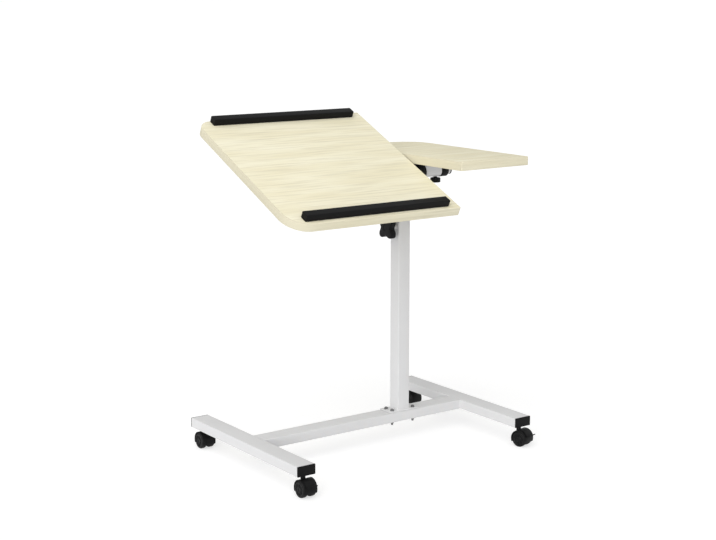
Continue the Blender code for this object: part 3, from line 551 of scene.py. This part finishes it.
drill = turned(((DRILL_START, STUD_BORE), (DRILL_END, STUD_BORE)), "X", centre=(0.0, clamp_z))
bm = carved(bm, "DIFFERENCE", drill)
dress(as_piece("column_tube", bm), white_coat, "base", "white_paint", "outer_column")

rows = ((FLANGE_EDGE, flange_bottom), (0.0, flange_bottom + FLANGE_EDGE), (0.0, flange_top - FLANGE_EDGE),
        (FLANGE_EDGE, flange_top))
bm = skinned([set_along(rounded(column_high.x - inset, column_high.y - inset, FLANGE_CORNER), "Z", at)
              for inset, at in rows])
dress(as_piece("column_flange", bm, sharp=50), white_coat, "base", "white_paint")

rows = ((BOSS_FACE, STUD_BORE), (BOSS_FACE, BOSS_RADIUS - BOSS_EDGE), (BOSS_FACE + BOSS_EDGE, BOSS_RADIUS),
        (BOSS_SEAT, BOSS_RADIUS), (BOSS_SEAT, STUD_BORE))
bm = turned(rows, "X", ring=True, centre=(0.0, clamp_z))
dress(as_piece("clamp_boss", bm), white_coat, "base", "white_paint")

foot_run = [(x, y, flange_top) for x, y in rounded(COLUMN_HALF, COLUMN_HALF, COLUMN_CORNER)]
boss_run = [(-COLUMN_HALF, y, clamp_z + z) for y, z in circle(BOSS_RADIUS, 32)]
seams = grown("column_welds", bead_tree, {"Bead Radius": 0.0015, "Pitch": BEAD_PITCH},
              *chain([foot_run + foot_run[:1], boss_run + boss_run[:1]]))
dress(seams, white_coat, "base", "white_paint")

# Flange bolts
# Zinc plated hexagon bolts with washers go through the flange and the spreader.
# Each has a nut below the spreader, with the end of its thread standing out.
HEX_ROWS, HEX_TAPER = 8, 0.14
bolt_tree, inputs = new_tree("hexagon_bolt", (
    "Across Flats", "Head Height", "Washer Radius", "Washer Thickness",
    "Shank Radius", "Grip", "Nut Height", "Thread End"))


def sized(tree, operation, first, second):
    """Sum of two sizes inside a geometry tree."""
    made = node_in(tree, "ShaderNodeMath", {"operation": operation}, {"Value": first, "Value_001": second})
    return made.outputs[0]


def lifted(tree, geometry, height):
    """Shape moved up by a size."""
    offset = node_in(tree, "ShaderNodeCombineXYZ", {}, {"Z": height})
    moved = node_in(tree, "GeometryNodeTransform", {},
                    {"Geometry": geometry, "Translation": offset.outputs[0]})
    return moved.outputs[0]


def hexagon(tree, flats, height, lean):
    """Hexagon prism whose outer end is chamfered, which is its top for a lean of 1 and its bottom for -1."""
    corner = sized(tree, "MULTIPLY", flats, 1 / math.sqrt(3))
    prism = node_in(tree, "GeometryNodeMeshCylinder", {},
                    {"Vertices": 6, "Side Segments": HEX_ROWS, "Radius": corner, "Depth": height})
    spot = node_in(tree, "GeometryNodeInputPosition").outputs[0]
    rise = node_in(tree, "ShaderNodeSeparateXYZ", {}, {"Vector": spot}).outputs["Z"]
    below_end = sized(tree, "MULTIPLY", height, 0.45)
    outer = sized(tree, "GREATER_THAN", sized(tree, "MULTIPLY", rise, lean), below_end)
    narrow = sized(tree, "SUBTRACT", 1.0, sized(tree, "MULTIPLY", outer, HEX_TAPER))
    scale = node_in(tree, "ShaderNodeCombineXYZ", {}, {"X": narrow, "Y": narrow, "Z": 1.0}).outputs[0]
    drawn = node_in(tree, "ShaderNodeVectorMath", {"operation": "MULTIPLY"},
                    {"Vector": spot, "Vector_001": scale})
    tapered = node_in(tree, "GeometryNodeSetPosition", {},
                      {"Geometry": prism.outputs[0], "Position": drawn.outputs[0]})
    return tapered.outputs[0]


def disc(tree, radius, height, sides=32):
    """Round disc or rod."""
    return node_in(tree, "GeometryNodeMeshCylinder", {},
                   {"Vertices": sides, "Radius": radius, "Depth": height}).outputs[0]


size = inputs.outputs
head = hexagon(bolt_tree, size["Across Flats"], size["Head Height"], 1)
half_head = sized(bolt_tree, "MULTIPLY", size["Head Height"], 0.5)
head_up = sized(bolt_tree, "ADD", size["Washer Thickness"], half_head)
washer = disc(bolt_tree, size["Washer Radius"], size["Washer Thickness"])
reach = sized(bolt_tree, "ADD", sized(bolt_tree, "ADD", size["Grip"], size["Nut Height"]), size["Thread End"])
shank = disc(bolt_tree, size["Shank Radius"], reach)
nut = hexagon(bolt_tree, size["Across Flats"], size["Nut Height"], -1)
nut_down = sized(bolt_tree, "SUBTRACT", sized(bolt_tree, "MULTIPLY", size["Nut Height"], -0.5), size["Grip"])
washer_up = sized(bolt_tree, "MULTIPLY", size["Washer Thickness"], 0.5)
shank_down = sized(bolt_tree, "MULTIPLY", reach, -0.5)
joined = node_in(bolt_tree, "GeometryNodeJoinGeometry")
for geometry, height in ((head, head_up), (washer, washer_up), (shank, shank_down), (nut, nut_down)):
    bolt_tree.links.new(lifted(bolt_tree, geometry, height), joined.inputs[0])
twist = node_in(bolt_tree, "FunctionNodeRandomValue", {"data_type": "FLOAT_VECTOR"},
                {"Min": (0.0, 0.0, 0.0), "Max": (0.0, 0.0, 1.0), "Seed": 3})
bolts = node_in(bolt_tree, "GeometryNodeInstanceOnPoints", {},
                {"Points": size["Geometry"], "Instance": joined.outputs[0], "Rotation": twist.outputs[0]})
close_tree(bolt_tree, bolts.outputs[0], zinc)

bolt_spots, bolt_nodes = [], []
for key in CASTERS:
    low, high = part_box(key + "_flange_bolt")
    bolt_spots.append(((low.x + high.x) / 2, (low.y + high.y) / 2, flange_top + CLEARANCE))
    bolt_nodes += [key + "_flange_bolt", key + "_flange_nut"]
bolt_sizes = {
    "Across Flats": 0.008, "Head Height": 0.0036, "Washer Radius": 0.005, "Washer Thickness": 0.001,
    "Shank Radius": 0.003, "Grip": 0.0289, "Nut Height": 0.005, "Thread End": 0.004}
bolts = grown("flange_bolts", bolt_tree, bolt_sizes, bolt_spots, [], sharp=25)
dress(bolts, zinc, "base", "zinc_steel", *bolt_nodes)

# Column guide
# A flanged black nylon bush sits in the mouth of the outer column and guides the inner tube.
# Its lip shows as a thin black line round the joint of the two tubes.
GUIDE_BORE, GUIDE_PLUG, GUIDE_LIP = 0.0148, 0.0162, 0.003
GUIDE_EDGE, GUIDE_ROUND, GUIDE_CORNER = 0.0009, 0.0003, 0.0012
low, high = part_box("column_bush")
lip = high.z - GUIDE_LIP
rows = [(GUIDE_BORE, low.z), (GUIDE_PLUG, low.z), (GUIDE_PLUG, lip), (COLUMN_HALF, lip),
        (COLUMN_HALF, high.z - GUIDE_EDGE), (COLUMN_HALF - GUIDE_ROUND, high.z - GUIDE_ROUND),
        (COLUMN_HALF - GUIDE_EDGE, high.z), (GUIDE_BORE, high.z)]
bm = skinned([set_along(rounded(half, half, GUIDE_CORNER), "Z", at) for half, at in rows], ring=True)
dress(as_piece("column_guide", bm), black_nylon, "base", "black_plastic", "column_bush")

# Height clamp
# A lobed hand knob in black nylon is moulded on a zinc plated stud.
# Turning it screws the stud through the boss and presses it on the inner tube.
STUD_HEAD, TIP_START, TIP_END, TIP_RADIUS = -0.0423, -0.0153, -0.0148, 0.0032
KNOB_BACK, KNOB_BODY, KNOB_FACE = -0.0286, -0.0326, -0.0496
KNOB_NECK, KNOB_NECK_EDGE, KNOB_RIM = 0.011, 0.0006, 0.003
KNOB_DISH = ((0.0085, 0.0), (0.0080, 0.0005), (0.0076, 0.0008), (0.0030, 0.0005))
KNOB_MEAN, KNOB_LOBE, KNOB_LOBES = 0.0265, 0.0065, 4
KNOB_SIDES, RIM_STEPS = 96, 5


def lobed(mean, swell, count, sides, phase):
    """Outline that swells at each lobe."""
    turns = [i * math.tau / sides for i in range(sides)]
    radii = [mean + swell * math.cos(count * (turn - phase)) for turn in turns]
    return [(radius * math.cos(turn), radius * math.sin(turn)) for radius, turn in zip(radii, turns)]


rows = ((STUD_HEAD, STUD_RADIUS), (TIP_START, STUD_RADIUS), (TIP_END, TIP_RADIUS))
bm = turned(rows, "X", centre=(0.0, clamp_z))
dress(as_piece("height_clamp_stud", bm), zinc, "height_screw", "zinc_steel", "height_stud")

rows = ((STUD_BORE, STUD_HEAD - CLEARANCE), (STUD_BORE, KNOB_BACK), (KNOB_NECK - KNOB_NECK_EDGE, KNOB_BACK),
        (KNOB_NECK, KNOB_BACK - KNOB_NECK_EDGE), (KNOB_NECK, KNOB_BODY))
loops = [set_along(circle(radius, KNOB_SIDES), "X", at) for radius, at in rows]
rims = soft_rim(KNOB_RIM, KNOB_BODY, 1, RIM_STEPS)[::-1] + soft_rim(KNOB_RIM, KNOB_FACE, -1, RIM_STEPS)
for inset, at in rims:
    outline = lobed(KNOB_MEAN - inset, KNOB_LOBE, KNOB_LOBES, KNOB_SIDES, math.pi / 4)
    loops.append(set_along(outline, "X", at))
loops += [set_along(circle(radius, KNOB_SIDES), "X", KNOB_FACE + depth) for radius, depth in KNOB_DISH]
bm = skinned(loops)
bm.transform(Matrix.Translation((0.0, 0.0, clamp_z)))
dress(as_piece("height_clamp_knob", bm), black_nylon, "height_handle", "black_plastic", "height_knob")

# Inner column
# A 29 mm square tube slides in the outer one. Its top is cut out to a saddle for the cross tube.
# A nylon glide in its lower end runs inside the outer tube and never shows.
CROSS_RADIUS = 0.0125
CROSS_BORE = CROSS_RADIUS + CLEARANCE
SADDLE_REACH = 0.03
tilt_z = joints["main_top_tilt"]["pos_m"][2]
low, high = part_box("inner_column")
INNER_HALF = high.x
bm = box_tube(INNER_HALF, INNER_HALF, COLUMN_WALL, COLUMN_CORNER, "Z", low.z, high.z, (0.0, 0.0))
saddle = turned(((-SADDLE_REACH, CROSS_BORE), (SADDLE_REACH, CROSS_BORE)), "X", centre=(0.0, tilt_z))
bm = carved(bm, "DIFFERENCE", saddle)
dress(as_piece("inner_column_tube", bm), white_coat, "mast", "white_paint", "inner_column")
frame["nodes"]["inner_glide"].data.materials.clear()
frame["nodes"]["inner_glide"].data.materials.append(black_nylon)

# Cross tube
# A 25 mm round steel tube lies across the inner column and is welded into its saddle.
# Black collars keep the two tops in place along it, and a black cap closes each end.
CROSS_WALL = 0.0015
COLLAR_EDGE, COLLAR_ROUND = 0.0008, 0.0003
CAP_RIM, CAP_RIM_EDGE, CAP_GAP = 0.0044, 0.0005, 0.0001
CAP_DISH, CAP_DISH_RADII = 0.0002, (0.006, 0.0015)
SEAM_SINK, SEAM_TURN, SEAM_STEP = 0.0005, 56, 8
bore = CROSS_RADIUS - CROSS_WALL
left_end, right_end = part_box("main_end_cap")[0].x + CAP_RIM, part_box("side_end_cap")[1].x - CAP_RIM
rows = ((left_end, CROSS_RADIUS), (right_end, CROSS_RADIUS), (right_end, bore), (left_end, bore))
bm = turned(rows, "X", ring=True, centre=(0.0, tilt_z))
dress(as_piece("cross_tube_pipe", bm), white_coat, "mast", "white_paint", "cross_tube")
for name in ("side_inner_collar", "side_outer_collar", "main_inner_collar", "main_outer_collar"):
    low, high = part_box(name)
    rim = (high.y - low.y) / 2
    rows = ((low.x, CROSS_BORE), (low.x, rim - COLLAR_EDGE), (low.x + COLLAR_ROUND, rim - COLLAR_ROUND),
            (low.x + COLLAR_EDGE, rim), (high.x - COLLAR_EDGE, rim),
            (high.x - COLLAR_ROUND, rim - COLLAR_ROUND), (high.x, rim - COLLAR_EDGE), (high.x, CROSS_BORE))
    bm = turned(rows, "X", ring=True, centre=(0.0, tilt_z))
    dress(as_piece(name + "_ring", bm), black_nylon, "mast", "black_plastic", name)
for name, side in (("side_end_cap", 1), ("main_end_cap", -1)):
    low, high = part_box(name)
    end, plug = (high.x, low.x) if side > 0 else (low.x, high.x)
    seat = end - side * (CAP_RIM - CAP_GAP)
    rows = [(plug, bore - CLEARANCE), (seat, bore - CLEARANCE), (seat, CROSS_RADIUS)]
    rows += [(at, CROSS_RADIUS - inset) for inset, at in soft_rim(CAP_RIM_EDGE, end, side, RIM_STEPS)]
    rows += [(end - side * CAP_DISH, radius) for radius in CAP_DISH_RADII]
    bm = turned(rows, "X", centre=(0.0, tilt_z))
    dress(as_piece(name + "_moulding", bm), black_nylon, "mast", "black_plastic", name)
reach = CROSS_RADIUS - SEAM_SINK
turns = [math.radians(degrees) for degrees in range(-SEAM_TURN, SEAM_TURN + 1, SEAM_STEP)]
saddle_runs = [[(side * INNER_HALF, reach * math.sin(turn), tilt_z - reach * math.cos(turn))
                for turn in turns] for side in (-1, 1)]
seams = grown("saddle_welds", bead_tree, {"Bead Radius": 0.0014, "Pitch": BEAD_PITCH}, *chain(saddle_runs))
dress(seams, white_coat, "mast", "white_paint")

# Tilt brackets
# Under each top a steel plate carries clamp sleeves on two cheeks, all welded and coated white.
# Pan head screws near its corners hold the plate to the board.
lock_axis = joints["main_lock_turn"]["axis"]
TILT = math.atan2(lock_axis[1], -lock_axis[2])
SIDE_PLACE = Matrix.Translation((0.0, 0.0, tilt_z))
MAIN_PLACE = SIDE_PLACE @ Matrix.Rotation(TILT, 4, "X")
SLEEVE_RADIUS, SLEEVE_LENGTH = 0.015, 0.056
SIDE_SLEEVES, MAIN_SLEEVES = (0.068,), (0.068, 0.195)
LOCK_X = joints["side_lock_turn"]["pos_m"][0]
LOCK_STUD_RADIUS = 0.003
PLATE_BOTTOM, PLATE_TOP, PLATE_CORNER = 0.0267, 0.0297, 0.004
PLATE_HALF_DEPTH, PLATE_MARGIN = 0.080, 0.030
CHEEK_FACE, CHEEK_THICKNESS, CHEEK_INSET, CHEEK_ROOT = 0.0147, 0.003, 0.002, 0.0015
CUT_MARGIN = 0.001
SCREW_INSET = 0.012

screw_tree, inputs = new_tree("pan_head_screw", ("Head Radius", "Head Height", "Slot Width"))
size = inputs.outputs
dome = node_in(screw_tree, "GeometryNodeMeshUVSphere", {},
               {"Segments": 24, "Rings": 12, "Radius": size["Head Radius"]}).outputs[0]
flatness = sized(screw_tree, "DIVIDE", size["Head Height"], size["Head Radius"])
squash = node_in(screw_tree, "ShaderNodeCombineXYZ", {}, {"X": 1.0, "Y": 1.0, "Z": flatness})
head = node_in(screw_tree, "GeometryNodeTransform", {}, {"Geometry": dome, "Scale": squash.outputs[0]})
recess = node_in(screw_tree, "GeometryNodeMeshBoolean", {"operation": "DIFFERENCE"},
                 {"Mesh 1": head.outputs[0]})
long_slot = sized(screw_tree, "MULTIPLY", size["Head Radius"], 1.15)
for first, second in ((long_slot, size["Slot Width"]), (size["Slot Width"], long_slot)):
    extent = node_in(screw_tree, "ShaderNodeCombineXYZ", {},
                     {"X": first, "Y": second, "Z": size["Head Height"]})
    slot = node_in(screw_tree, "GeometryNodeMeshCube", {}, {"Size": extent.outputs[0]}).outputs[0]
    down = sized(screw_tree, "MULTIPLY", size["Head Height"], -0.9)
    screw_tree.links.new(lifted(screw_tree, slot, down), recess.inputs["Mesh 2"])
twist = node_in(screw_tree, "FunctionNodeRandomValue", {"data_type": "FLOAT_VECTOR"},
                {"Min": (0.0, 0.0, 0.0), "Max": (0.0, 0.0, 1.5), "Seed": 9})
screws = node_in(screw_tree, "GeometryNodeInstanceOnPoints", {},
                 {"Points": size["Geometry"], "Instance": recess.outputs[0], "Rotation": twist.outputs[0]})
close_tree(screw_tree, screws.outputs[0], zinc)


def bracket_shape(starts):
    """Bracket to the right of the column, with the tilt axis at its origin."""
    low, high = starts[0] - PLATE_MARGIN, starts[-1] + SLEEVE_LENGTH + PLATE_MARGIN
    outline = rounded((high - low) / 2, PLATE_HALF_DEPTH, PLATE_CORNER)
    bm = skinned([set_along(outline, "Z", at, ((high + low) / 2, 0.0)) for at in (PLATE_BOTTOM, PLATE_TOP)])
    joined = []
    for begin in starts:
        joined.append(turned(((begin, SLEEVE_RADIUS), (begin + SLEEVE_LENGTH, SLEEVE_RADIUS)), "X"))
        left, right = begin + CHEEK_INSET, begin + SLEEVE_LENGTH - CHEEK_INSET
        for side in (-1, 1):
            middle = side * (CHEEK_FACE - CHEEK_THICKNESS / 2)
            front, back = middle - CHEEK_THICKNESS / 2, middle + CHEEK_THICKNESS / 2
            cheek = [(left, front), (left, back), (right, back), (right, front)]
            joined.append(skinned([set_along(cheek, "Z", at) for at in (0.0, PLATE_BOTTOM + CHEEK_ROOT)]))
    bm = carved(bm, "UNION", *joined)
    ends = (starts[0] - CUT_MARGIN, starts[-1] + SLEEVE_LENGTH + CUT_MARGIN)
    bore = turned([(at, CROSS_BORE) for at in ends], "X")
    hole = LOCK_STUD_RADIUS + CLEARANCE
    stud = turned(((-DRILL_REACH, hole), (0.0, hole)), "Z", centre=(LOCK_X, 0.0))
    return carved(bm, "DIFFERENCE", bore, stud), (low, high)


for key, side, place, starts in (("side", 1, SIDE_PLACE, SIDE_SLEEVES),
                                 ("main", -1, MAIN_PLACE, MAIN_SLEEVES)):
    bm, (low, high) = bracket_shape(starts)
    if side < 0:
        bm.transform(Matrix.Scale(-1, 4, (1, 0, 0)))
        bmesh.ops.reverse_faces(bm, faces=bm.faces)
    plate = as_piece(key + "_bracket_plate", bm, place)
    dress(plate, white_coat, key + "_desk", "white_paint", key + "_bracket")
    spots = [(side * x, y, PLATE_BOTTOM) for x in (low + SCREW_INSET, high - SCREW_INSET)
             for y in (SCREW_INSET - PLATE_HALF_DEPTH, PLATE_HALF_DEPTH - SCREW_INSET)]
    made = grown(key + "_plate_screws", screw_tree,
                 {"Head Radius": 0.0045, "Head Height": 0.0024, "Slot Width": 0.0011}, spots, [])
    made.data.transform(place)
    dress(made, zinc, key + "_desk", "zinc_steel")
    runs = []
    for begin in starts:
        for flank in (-1, 1):
            ends = (begin + CHEEK_INSET, begin + SLEEVE_LENGTH - CHEEK_INSET)
            runs.append([(side * x, flank * CHEEK_FACE, PLATE_BOTTOM) for x in ends])
    made = grown(key + "_bracket_welds", bead_tree, {"Bead Radius": 0.0014, "Pitch": BEAD_PITCH},
                 *chain(runs))
    made.data.transform(place)
    dress(made, white_coat, key + "_desk", "white_paint")

# Tilt locks
# A small fluted knob on a steel stud clamps each top on the cross tube from below.
# The knob is black nylon, moulded on the head of the stud.
LOCK_STUD_DEPTH, LOCK_STUD_TIP = 0.0087, 0.001
LOCK_TOP, LOCK_BOTTOM, LOCK_MEAN = -0.0184, -0.0304, 0.0125
LOCK_TOP_EDGE, LOCK_BOTTOM_EDGE = 0.0008, 0.0012
LOCK_FLUTE, LOCK_FLUTES = 0.0008, 8
LOCK_NECK = ((0.0052, 0.0022), (0.0056, 0.0018), (0.0060, 0.0))
for key, side, place in (("side", 1, SIDE_PLACE), ("main", -1, MAIN_PLACE)):
    rows = ((LOCK_TOP - LOCK_STUD_DEPTH, LOCK_STUD_RADIUS), (-CROSS_BORE - LOCK_STUD_TIP, LOCK_STUD_RADIUS),
            (-CROSS_BORE, LOCK_STUD_RADIUS - LOCK_STUD_TIP))
    stud = as_piece(key + "_lock_screw_stud", turned(rows, "Z", centre=(side * LOCK_X, 0.0)), place)
    dress(stud, zinc, key + "_lock_screw", "zinc_steel", key + "_lock_stud")
    bore = LOCK_STUD_RADIUS + CLEARANCE
    rows = ((bore, -LOCK_STUD_DEPTH - CLEARANCE), (bore, LOCK_NECK[0][1])) + LOCK_NECK
    loops = [set_along(circle(radius, KNOB_SIDES), "Z", LOCK_TOP + lift) for radius, lift in rows]
    rims = soft_rim(LOCK_TOP_EDGE, LOCK_TOP, 1, RIM_STEPS)[::-1]
    for inset, at in rims + soft_rim(LOCK_BOTTOM_EDGE, LOCK_BOTTOM, -1, RIM_STEPS):
        outline = lobed(LOCK_MEAN - inset, LOCK_FLUTE, LOCK_FLUTES, KNOB_SIDES, 0.0)
        loops.append(set_along(outline, "Z", at))
    bm = skinned(loops)
    bm.transform(Matrix.Translation((side * LOCK_X, 0.0, 0.0)))
    knob = as_piece(key + "_lock_grip", bm, place)
    dress(knob, black_nylon, key + "_lock_handle", "black_plastic", key + "_lock_knob")

# Table tops
# Two 22 mm boards faced and edged in pale birch laminate, with the grain running along the table.
# Three of the four outer corners are rounded, all edges have a slight radius, and the edges carry painted
# shade.
birch, shader, start = new_finish("birch_laminate")
grain = start.node("ShaderNodeAttribute", {"attribute_name": "grain"}, {}, "Vector")
streak = noise(start, 1.0, (6.5, 190.0, 1.0), 5.0, grain)
band = noise(start, 1.0, (3.6, 30.0, 1.0), 4.0, grain)
pore = noise(start, 1.0, (45.0, 1500.0, 1.0), 2.0, grain)
flecks = start.node("ShaderNodeMapRange", {}, {"Value": pore, "From Min": 0.60, "From Max": 0.72})
clouds = start.node("ShaderNodeMapRange", {}, {"Value": band, "From Min": 0.38, "From Max": 0.64})
lines = start.node("ShaderNodeMapRange", {}, {"Value": streak, "From Min": 0.48, "From Max": 0.68})
pale = mixed(start, clouds, linear(235, 228, 199), linear(242, 237, 213))
grained = mixed(start, lines * 0.66, pale, linear(216, 209, 182))
flecked = mixed(start, flecks * 0.10, grained, linear(190, 178, 146))
# Painted shade: the board edges are mixed towards a duller birch tone to stand in for the shade that falls on
# them, more on some edges and boards than others.
edge_band = start.node("ShaderNodeAttribute", {"attribute_name": "edge_band"}, {}, "Fac")
mixed(start, edge_band * 0.8, flecked, linear(203, 197, 175)).feed(shader, "Base Color")
(0.46 + streak * 0.10 + flecks * 0.08).feed(shader, "Roughness")
shader.inputs["Specular IOR Level"].default_value = 0.0
shader.inputs["Coat Weight"].default_value = 0.05
shader.inputs["Coat Roughness"].default_value = 0.35
relief(start, shader, streak + pore, 0.06, 0.0002)

BOARD_BOTTOM, BOARD_TOP, BOARD_EDGE = 0.030, 0.052, 0.001
WIDE_CORNER, WIDE_STEPS, TIGHT_STEPS = 0.01, 28, 5
EDGE_SHEET = 1.5


def board_outline(low, high, radii, inset):
    """Outline of a board with a radius for each corner, from the right front round by the back."""
    points = []
    for index, (side_u, side_v) in enumerate(((1, -1), (1, 1), (-1, 1), (-1, -1))):
        radius = max(radii[index] - inset, LEAST_RADIUS)
        edge_u = (high[0] if side_u > 0 else low[0]) - side_u * inset
        edge_v = (high[1] if side_v > 0 else low[1]) - side_v * inset
        steps = WIDE_STEPS if radius > WIDE_CORNER else TIGHT_STEPS
        for step in range(steps + 1):
            angle = (index - 1 + step / steps) * math.pi / 2
            points.append((edge_u - side_u * radius + radius * math.cos(angle),
                           edge_v - side_v * radius + radius * math.sin(angle)))
    return points


def lay_grain(board, outline, place, sheet, shade):
    """Grain that runs along a board on its two faces and follows its rim on the edge.

    The edge gets painted shade, darkest at the two ends of the board, across the grain. Along the grain it
    has a share of that painted shade. A sheet is the slice of the pattern that a board is cut from.
    """
    rim = [0.0]
    for first, second in zip(outline, outline[1:] + outline[:1]):
        rim.append(rim[-1] + math.dist(first, second))
    for name, kind in (("grain", "FLOAT_VECTOR"), ("edge_band", "FLOAT")):
        board.data.attributes.new(name, kind, "CORNER")
    laid, painted_shade = board.data.attributes["grain"], board.data.attributes["edge_band"]
    back = place.inverted()
    for face in board.data.polygons:
        spots = [index % len(outline) for index in face.vertices]
        closing = 0 in spots and len(outline) - 1 in spots
        for corner, index, spot in zip(face.loop_indices, face.vertices, spots):
            local = back @ board.data.vertices[index].co
            along = rim[-1] if closing and spot == 0 else rim[spot]
            on_edge = len(spots) == 4
            after, before = outline[(spot + 1) % len(outline)], outline[spot - 1]
            across = abs(after[1] - before[1]) / math.dist(after, before)
            # Painted shade on the edge: all of it across the grain, and the board's share of it along the
            # grain.
            painted_shade.data[corner].value = (shade + (1 - shade) * across) * on_edge
            rimmed, flat = (along, local.z, sheet + EDGE_SHEET), (local.x, local.y, sheet)
            laid.data[corner].vector = rimmed if on_edge else flat


# The third value is each board's share of painted edge shade along the grain; the side top takes more of it.
for key, sheet, shade, place, low, high, radii in (
        ("main", 0.0, 0.3, MAIN_PLACE, (-0.491, -0.248), (-0.003, 0.230), (0.002, 0.002, 0.040, 0.060)),
        ("side", 4.0, 0.6, SIDE_PLACE, (0.003, -0.239), (0.221, 0.239), (0.002, 0.080, 0.002, 0.002))):
    rows = soft_rim(BOARD_EDGE, BOARD_BOTTOM, -1)[::-1]
    rows += [(inset, BOARD_BOTTOM + BOARD_TOP - at) for inset, at in rows[::-1]]
    bm = skinned([set_along(board_outline(low, high, radii, inset), "Z", at) for inset, at in rows])
    board = as_piece(key + "_board", bm, place)
    lay_grain(board, board_outline(low, high, radii, 0.0), place, sheet, shade)
    dress(board, birch, key + "_desk", "birch_laminate", key + "_top")

# Stop bars
# Two black rubber bars on the main top keep a laptop from sliding off when the top is tilted.
# They are extruded with rounded edges, cut to length and glued down.
rubber, shader, start = new_finish("black_stop_rubber")
cloud = noise(start, 26.0)
drawn = noise(start, 1.0, (12.0, 1400.0, 1400.0), 2.0)
mixed(start, cloud, linear(11, 11, 12), linear(17, 17, 17)).feed(shader, "Base Color")
(0.58 + cloud * 0.14 + drawn * 0.06).feed(shader, "Roughness")
shader.inputs["Specular IOR Level"].default_value = 0.14
relief(start, shader, drawn, 0.15, 0.0003)

BAR_START, BAR_END, BAR_WIDTH = -0.453, -0.035, 0.022
BAR_BOTTOM, BAR_TOP = BOARD_TOP + CLEARANCE, 0.0698
BAR_EDGE, BAR_END_EDGE = 0.0025, 0.00125
for name, front in (("front_stop_bar", -0.239), ("rear_stop_bar", 0.205)):
    centre = (front + BAR_WIDTH / 2, (BAR_BOTTOM + BAR_TOP) / 2)
    half = (BAR_TOP - BAR_BOTTOM) / 2
    rows = soft_rim(BAR_END_EDGE, BAR_START, -1)[::-1]
    rows += [(inset, BAR_START + BAR_END - at) for inset, at in rows[::-1]]
    bm = skinned([set_along(rounded(BAR_WIDTH / 2 - inset, half - inset, BAR_EDGE - inset), "X", at, centre)
                  for inset, at in rows])
    dress(as_piece(name + "_rubber", bm, MAIN_PLACE), rubber, "main_desk", "stop_rubber", name)

# Studio
# A plain pale floor under soft light, with a white background for the camera.
# The camera stands where the photograph was taken from.
FLOOR_REACH = 90.0
LIGHT_DISTANCE = 4.0
corners = [(u * FLOOR_REACH, v * FLOOR_REACH, 0.0) for u, v in ((-1, -1), (1, -1), (1, 1), (-1, 1))]
floor_mesh = bpy.data.meshes.new("floor")
floor_mesh.from_pydata(corners, [], [(0, 1, 2, 3)])
floor = bpy.data.objects.new("floor", floor_mesh)
bpy.context.collection.objects.link(floor)


def seen(start):
    """1 for what the camera sees straight, in a reflection or through glass."""
    def ray(name):
        return start.node("ShaderNodeLightPath", out=name)
    return start.sum("MAXIMUM", start.sum("MAXIMUM", ray("Is Camera Ray"), ray("Is Glossy Ray")),
                     ray("Is Transmission Ray"))


pale_floor, shader, start = new_finish("pale_floor")
plain = start.node("ShaderNodeBsdfDiffuse", {}, {"Color": (0.88, 0.88, 0.88, 1.0)})
tint = start.node("ShaderNodeBsdfDiffuse", {}, {"Color": (0.52, 0.52, 0.52, 1.0)})
glow = start.node("ShaderNodeEmission", {}, {"Color": (1.0, 1.0, 1.0, 1.0), "Strength": 0.60})
shown = start.node("ShaderNodeAddShader", {}, {"Shader": tint, "Shader_001": glow})
both = start.node("ShaderNodeMixShader", {}, {"Fac": seen(start), "Shader": plain, "Shader_001": shown})
pale_floor.node_tree.links.new(both.socket, pale_floor.node_tree.nodes["Material Output"].inputs["Surface"])
pale_floor.node_tree.nodes.remove(shader)
floor_mesh.materials.append(pale_floor)

world = bpy.data.worlds.new("studio")
bpy.context.scene.world = world
world.use_nodes = True
world.node_tree.nodes.clear()
start = Field(world.node_tree)
soft = start.node("ShaderNodeBackground", {}, {"Color": (1.0, 1.0, 1.0, 1.0), "Strength": 0.50})
white = start.node("ShaderNodeBackground", {}, {"Color": (1.0, 1.0, 1.0, 1.0), "Strength": 1.0})
both = start.node("ShaderNodeMixShader", {}, {"Fac": seen(start), "Shader": soft, "Shader_001": white})
sky = world.node_tree.nodes.new("ShaderNodeOutputWorld")
world.node_tree.links.new(both.socket, sky.inputs["Surface"])

for name, place, power, spread in (("key_light", (-0.62, -0.50, 0.64), 1.78, 70.0),
                                   ("fill_light", (-0.82, -0.54, 0.07), 1.10, 24.0)):
    lamp = bpy.data.lights.new(name, "SUN")
    lamp.energy, lamp.angle = power, math.radians(spread)
    light = bpy.data.objects.new(name, lamp)
    light.location = LIGHT_DISTANCE * Vector(place)
    light.rotation_euler = Vector(place).to_track_quat("Z", "Y").to_euler()
    bpy.context.collection.objects.link(light)

lens = bpy.data.cameras.new("photo_camera")
lens.sensor_fit, lens.sensor_width, lens.lens = "HORIZONTAL", 36.0, 74.98
lens.clip_end = 400.0
camera = bpy.data.objects.new("photo_camera", lens)
camera.location = (-2.3083, -3.0194, 1.1787)
camera.rotation_euler = (math.radians(79.15), 0.0, math.radians(-35.75))
bpy.context.collection.objects.link(camera)
bpy.context.scene.camera = camera
bpy.context.scene.view_settings.view_transform = "Standard"
